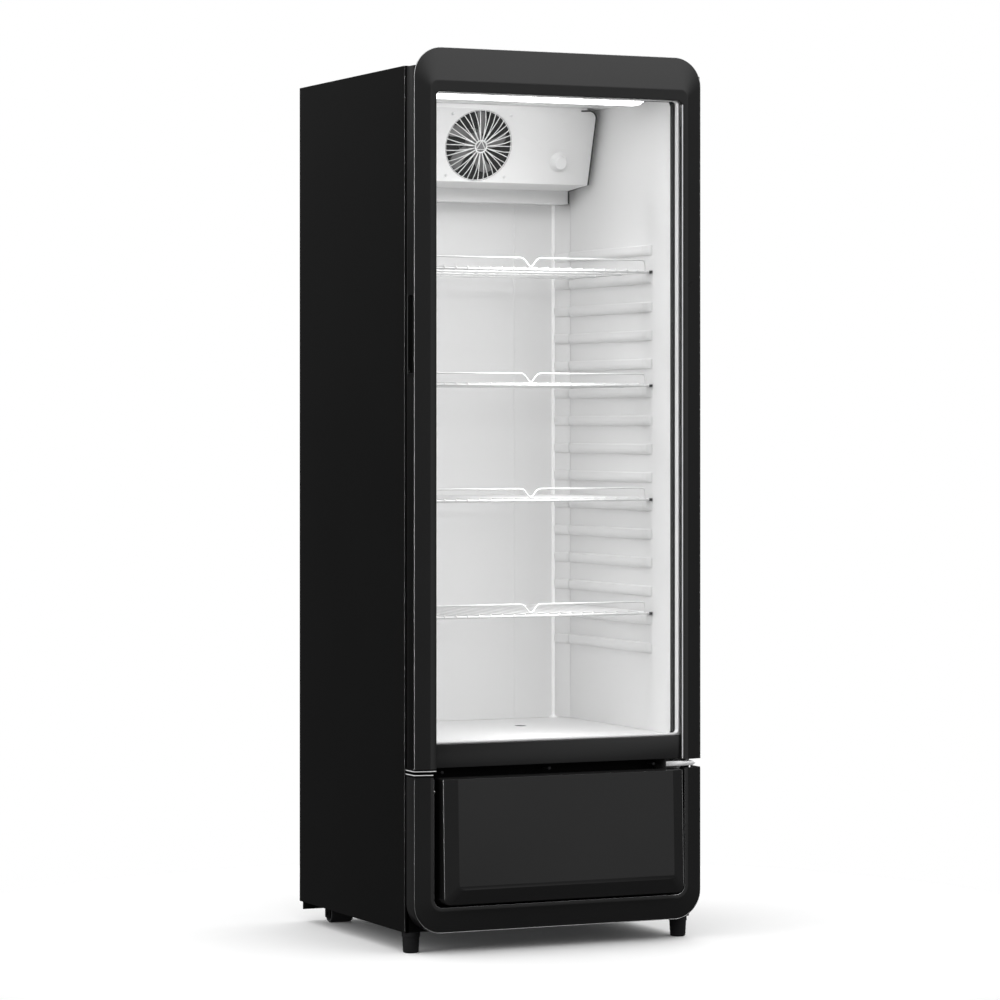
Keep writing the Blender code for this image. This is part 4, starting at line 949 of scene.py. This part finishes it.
# ---- machinery, base and rear ----
def make_machinery():
    """The condenser's tubes, the compressor's seam and terminal box, and two pipes."""
    low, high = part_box("condenser_coil")
    bm = bmesh.new()
    rows = 6
    for row in range(rows):
        z = low.z + 0.030 + row * (high.z - low.z - 0.050) / (rows - 1)
        for y in (low.y + 0.018, high.y - 0.018):
            add_rod(bm, (low.x - 0.004, y, z), (high.x + 0.004, y, z), 0.004, 14)
        for k in range(2):
            x = low.x - 0.004 if k else high.x + 0.004
            bend = math.copysign(1.0, x - (low.x + high.x) / 2)
            centre = (low.y + high.y) / 2
            reach = (high.y - low.y) / 2 - 0.018
            route = [(x + bend * reach * 0.5 * math.cos(a), centre + reach * math.sin(a), z)
                     for a in [math.radians(-90 + 18 * s) for s in range(11)]]
            add_tube(bm, route, 0.004, 12)
    finish_mesh("condenser_tubes", bm, COPPER, "cabinet")

    pot_low, pot_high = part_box("compressor")
    centre = (pot_low + pot_high) / 2
    bm = bmesh.new()
    matrix = Matrix.Translation((centre.x, centre.y, pot_low.z + 0.110))
    add_turned(bm, [(0.0775, -0.003), (0.0800, -0.002), (0.0800, 0.002), (0.0775, 0.003)], matrix, 64)
    finish_mesh("compressor_seam", bm, ENAMEL, "cabinet")
    bm = bmesh.new()
    add_box(bm, (centre.x + 0.070, centre.y - 0.028, pot_low.z + 0.060),
            (centre.x + 0.104, centre.y + 0.028, pot_low.z + 0.105))
    finish_mesh("compressor_terminal_box", bm, DARK, "cabinet", width=0.003, segments=3)
    bm = bmesh.new()
    start = Vector((centre.x - 0.050, centre.y - 0.060, pot_low.z + 0.150))
    route = rounded([start, start + Vector((-0.02, -0.02, 0.05)), (-0.245, start.y - 0.02, start.z + 0.05),
                     (-0.262, at(0.135), 0.300), (-0.262, at(0.110), 0.250)], 0.03, 8)
    add_tube(bm, route, 0.0035, 12)
    start = Vector((centre.x + 0.035, centre.y + 0.040, pot_low.z + 0.168))
    route = rounded([start, start + Vector((0.005, 0.008, 0.055)),
                     (0.235, start.y + 0.012, start.z + 0.058),
                     (0.245, at(0.500), 0.340), (0.245, at(0.505), 0.372)], 0.025, 8)
    add_tube(bm, route, 0.0045, 12)
    finish_mesh("refrigerant_pipes", bm, COPPER, "cabinet", angle=60)


def make_rear():
    """Folded lips under each slot of the rear cover, and the screws round the panels' edges."""
    bm = bmesh.new()
    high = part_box("rear_grille")[1]
    for column in range(3):
        for row in range(8):
            x = -0.240 + 0.165 * column
            z = 0.120 + 0.028 * row
            inner = [(x + 0.002, high.y, z + 0.0105), (x + 0.138, high.y, z + 0.0105),
                     (x + 0.138, high.y + 0.0006, z + 0.0120), (x + 0.002, high.y + 0.0006, z + 0.0120)]
            outer = [(px, high.y + 0.0024, pz - 0.0035) for px, _, pz in inner]
            add_loft(bm, [inner, outer])
    finish_mesh("rear_slot_lips", bm, ENAMEL, "cabinet")
    bm = bmesh.new()
    foot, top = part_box("back_panel")
    for x in (-0.312, 0.312):
        for z in (0.075, 0.200, 0.350):
            add_screw(bm, (x, high.y + 0.0002, z), (0, 1, 0), 0.0040)
        for k in range(6):
            z = 0.410 + k * (top.z - 0.440) / 5
            add_screw(bm, (x, top.y + 0.0002, z), (0, 1, 0), 0.0040)
    for x in (-0.155, 0.0, 0.155):
        add_screw(bm, (x, top.y + 0.0002, top.z - 0.015), (0, 1, 0), 0.0040)
        add_screw(bm, (x, top.y + 0.0002, foot.z + 0.012), (0, 1, 0), 0.0040)
    finish_mesh("rear_panel_screws", bm, ZINC, "cabinet")


def make_feet():
    """Collars and rings round the feet, and the rollers' hub rings."""
    profile = [(0.0182, 0.0325), (0.0189, 0.0330), (0.0189, 0.0415), (0.0182, 0.0419), (0.0060, 0.0419),
               (0.0060, 0.0325)]
    for name in ("left", "right"):
        low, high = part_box(f"levelling_foot_{name}")
        matrix = Matrix.Translation(((low.x + high.x) / 2, (low.y + high.y) / 2, 0.0))
        bm = bmesh.new()
        add_turned(bm, profile, matrix, 48)
        for k in range(3):
            z = 0.006 + 0.0085 * k
            r = 0.0160 + (0.0180 - 0.0160) * z / 0.038
            add_ring(bm, r - 0.002, r + 0.0003, z, z + 0.0012, matrix, 48)
        finish_mesh(f"levelling_foot_{name}_collar", bm, RUBBER, f"{name}_foot")
    for name in ("left", "right"):
        low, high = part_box(f"rear_roller_{name}")
        bm = bmesh.new()
        turn = Matrix.Translation((low + high) / 2) @ Matrix.Rotation(math.pi / 2, 4, "Y")
        half = (high.x - low.x) / 2
        for end in (-half, half):
            z0, z1 = sorted((end, end - math.copysign(0.0015, end)))
            add_ring(bm, 0.0044, 0.0080, z0 - 0.0004, z1 + 0.0004, turn, 36)
            add_ring(bm, 0.0150, 0.0175, z0 - 0.0004, z1 + 0.0004, turn, 48)
        finish_mesh(f"rear_roller_{name}_rings", bm, GREY, f"{name}_roller")


# ---- carried nodes ----
def carry_nodes():
    for name in ("top_panel", "back_panel", "base_frame", "rear_grille"):
        carry(name, ENAMEL)
    # the face frame's own black paint, made darker as painted shade in the slot below the door
    carry("face_frame", BLACK_AND_PAINTED_SHADE)
    for name in ("top_hinge", "roller_bracket_left", "roller_bracket_right"):
        carry(name, ENAMEL, 0.0004)
    carry("compressor", ENAMEL, 0.001)
    carry("condenser_coil", ENAMEL)
    for name in ("door_left_bar", "door_right_bar", "door_top_bar"):
        carry(name, ENAMEL, 0.0006)
    # the pull's own black, made darker as painted shade in its recess
    carry("door_pull", BLACK_AND_PAINTED_SHADE, 0.0004)
    carry("door_bottom_rail", FASCIA, 0.0010, 3)
    carry("door_gasket", RUBBER, 0.0008)
    for name in ("levelling_foot_left", "levelling_foot_right", "rear_roller_left", "rear_roller_right"):
        carry(name, RUBBER, 0.0005)
    carry("power_gland", RUBBER, 0.0004)
    for name in ("liner_left_wall", "liner_right_wall"):
        item = carry(name, LINER, smooth=True)
        shade = item.modifiers.new("soft_ribs", "WEIGHTED_NORMAL")
        shade.weight = 60
    for name in ("liner_back_wall", "liner_floor", "liner_ceiling"):
        carry(name, LINER)
    for name in ("left_corner_post", "right_corner_post", "evaporator_cover", "evaporator_drip_tray"):
        carry(name, LINER, 0.0006)
    carry("foam_insulation", FOAM)
    for name in ("door_glass_outer", "door_glass_inner"):
        carry(name, GLASS)
    carry("door_glass_spacer", SPACER, 0.0004)
    carry("bottom_hinge", SATIN, 0.0005)
    carry("evaporator_coil", FIN)
    for name in ("door_bush_bottom", "door_bush_top", "evaporator_fan_motor", "thermostat_body",
                 "front_carrier", "condenser_fan_motor"):
        carry(name, DARK, 0.0004)
    carry("condensate_tray", GREY, 0.0008)
    carry("base_plate", GALVANISED)
    carry("condenser_fan_shroud", GALVANISED, 0.0005)


# ---- stage ----
def make_camera():
    """The photograph's own viewpoint, found from its straight edges."""
    data = bpy.data.cameras.new("camera")
    camera = placed("camera", data)
    camera.location = (-HALF - CAMERA_LEFT, FACE - CAMERA_AHEAD, CAMERA_HEIGHT)
    camera.rotation_euler = (math.pi / 2, 0.0, -CAMERA_TURN)
    data.sensor_width = 36.0
    data.lens = CAMERA_LENS
    data.shift_y = CAMERA_SHIFT
    data.clip_start = 0.1
    data.clip_end = 200.0
    bpy.context.scene.camera = camera


def area_light(name, place, target, size, power):
    data = bpy.data.lights.new(name, "AREA")
    data.shape = "RECTANGLE"
    data.size, data.size_y = size
    data.energy = power
    lamp = placed(name, data)
    lamp.location = place
    lamp.rotation_euler = (Vector(target) - Vector(place)).to_track_quat("-Z", "Y").to_euler()


def make_floor():
    """A flat pale disc that leaves the black faces free of its reflection."""
    bm = bmesh.new()
    bmesh.ops.create_circle(bm, cap_ends=True, segments=128, radius=FLOOR_RADIUS)
    mesh = bpy.data.meshes.new("floor")
    bm.to_mesh(mesh)
    bm.free()
    floor = placed("floor", mesh)
    floor.visible_glossy = False
    floor.visible_diffuse = False
    floor.visible_shadow = False
    mesh.materials.append(surface("pale_floor", (0.96, 0.96, 0.96), 0.70, specular=0.1, grain=60.0,
                                  relief=0.00002, tint=0.005))


def make_studio():
    """A soft dome: dim near the horizon and bright above, against a plain white background."""
    world = bpy.data.worlds.new("studio")
    bpy.context.scene.world = world
    world.use_nodes = True
    tree = world.node_tree
    link = tree.links.new
    output = tree.nodes["World Output"]
    dome = tree.nodes["Background"]
    place = tree.nodes.new("ShaderNodeTexCoord")
    split = tree.nodes.new("ShaderNodeSeparateXYZ")
    link(place.outputs["Generated"], split.inputs["Vector"])
    height = node(tree, "ShaderNodeMapRange", From_Min=-1.0)
    link(split.outputs["Z"], height.inputs["Value"])
    ramp = tree.nodes.new("ShaderNodeValToRGB")
    stops = ramp.color_ramp.elements
    levels = ((0.0, 0.05), (0.50, 0.06), (0.55, 0.14), (0.59, 0.20), (0.64, 0.75), (0.75, 0.92), (1.0, 1.0))
    for k, (position, level) in enumerate(levels):
        stop = stops[k] if k < 2 else stops.new(position)
        stop.position = position
        stop.color = (level, level, level, 1.0)
    link(height.outputs["Result"], ramp.inputs["Fac"])
    link(ramp.outputs["Color"], dome.inputs["Color"])
    put(dome, Strength=1.35)
    plain = node(tree, "ShaderNodeBackground", Color=(1.0, 1.0, 1.0, 1.0))
    path = tree.nodes.new("ShaderNodeLightPath")
    mix = tree.nodes.new("ShaderNodeMixShader")
    link(path.outputs["Is Camera Ray"], mix.inputs["Fac"])
    link(dome.outputs["Background"], mix.inputs[1])
    link(plain.outputs["Background"], mix.inputs[2])
    link(mix.outputs["Shader"], output.inputs["Surface"])


def make_stage():
    bpy.context.scene.view_settings.view_transform = "Standard"
    make_floor()
    make_studio()
    area_light("high_front", (2.2, -4.6, 3.6), (0.0, -0.3, 1.5), (3.0, 2.0), 38.0)
    area_light("left_strip", (-4.6, -1.2, 1.3), (0.0, 0.0, 1.0), (0.5, 3.2), 60.0)
    area_light("right_card", (1.9, -4.4, 0.55), (0.0, -0.3, 0.4), (2.6, 2.6), 16.0)
    for k, power in enumerate((0.14, 0.28, 0.32, 0.34, 0.37, 0.60)):
        z = 0.54 + 0.232 * k
        area_light(f"cavity_{k}", (0.0, at(0.045), z), (0.0, at(0.245), z - 0.22), (0.22, 0.10), power)


make_camera()
carry_nodes()
make_door_trim()
make_lower_trim()
make_lower_panel()
make_edge_beads()
make_side_panels()
make_corner_ribs()
make_liner_details()
make_light()
make_fan_guard()
make_fan("evaporator_fan_wheel", "evaporator_fan_blade", "evaporator_fan", "evaporator_fan_spin",
         0.022, 0.016, 0.071, 0.024, 5, math.radians(24))
make_fan("condenser_fan_wheel", "condenser_fan_blade", "condenser_fan", "condenser_fan_spin",
         0.024, 0.022, 0.100, 0.055, 5, math.radians(25))
make_thermostat()
SHELF_BODIES = ("upper_shelf", "second_shelf", "third_shelf", "lower_shelf")
for shelf_number, shelf_body in enumerate(SHELF_BODIES, start=1):
    make_shelf(shelf_number, shelf_body)
make_pull()
make_gasket()
make_screws()
make_machinery()
make_rear()
make_feet()
make_stage()
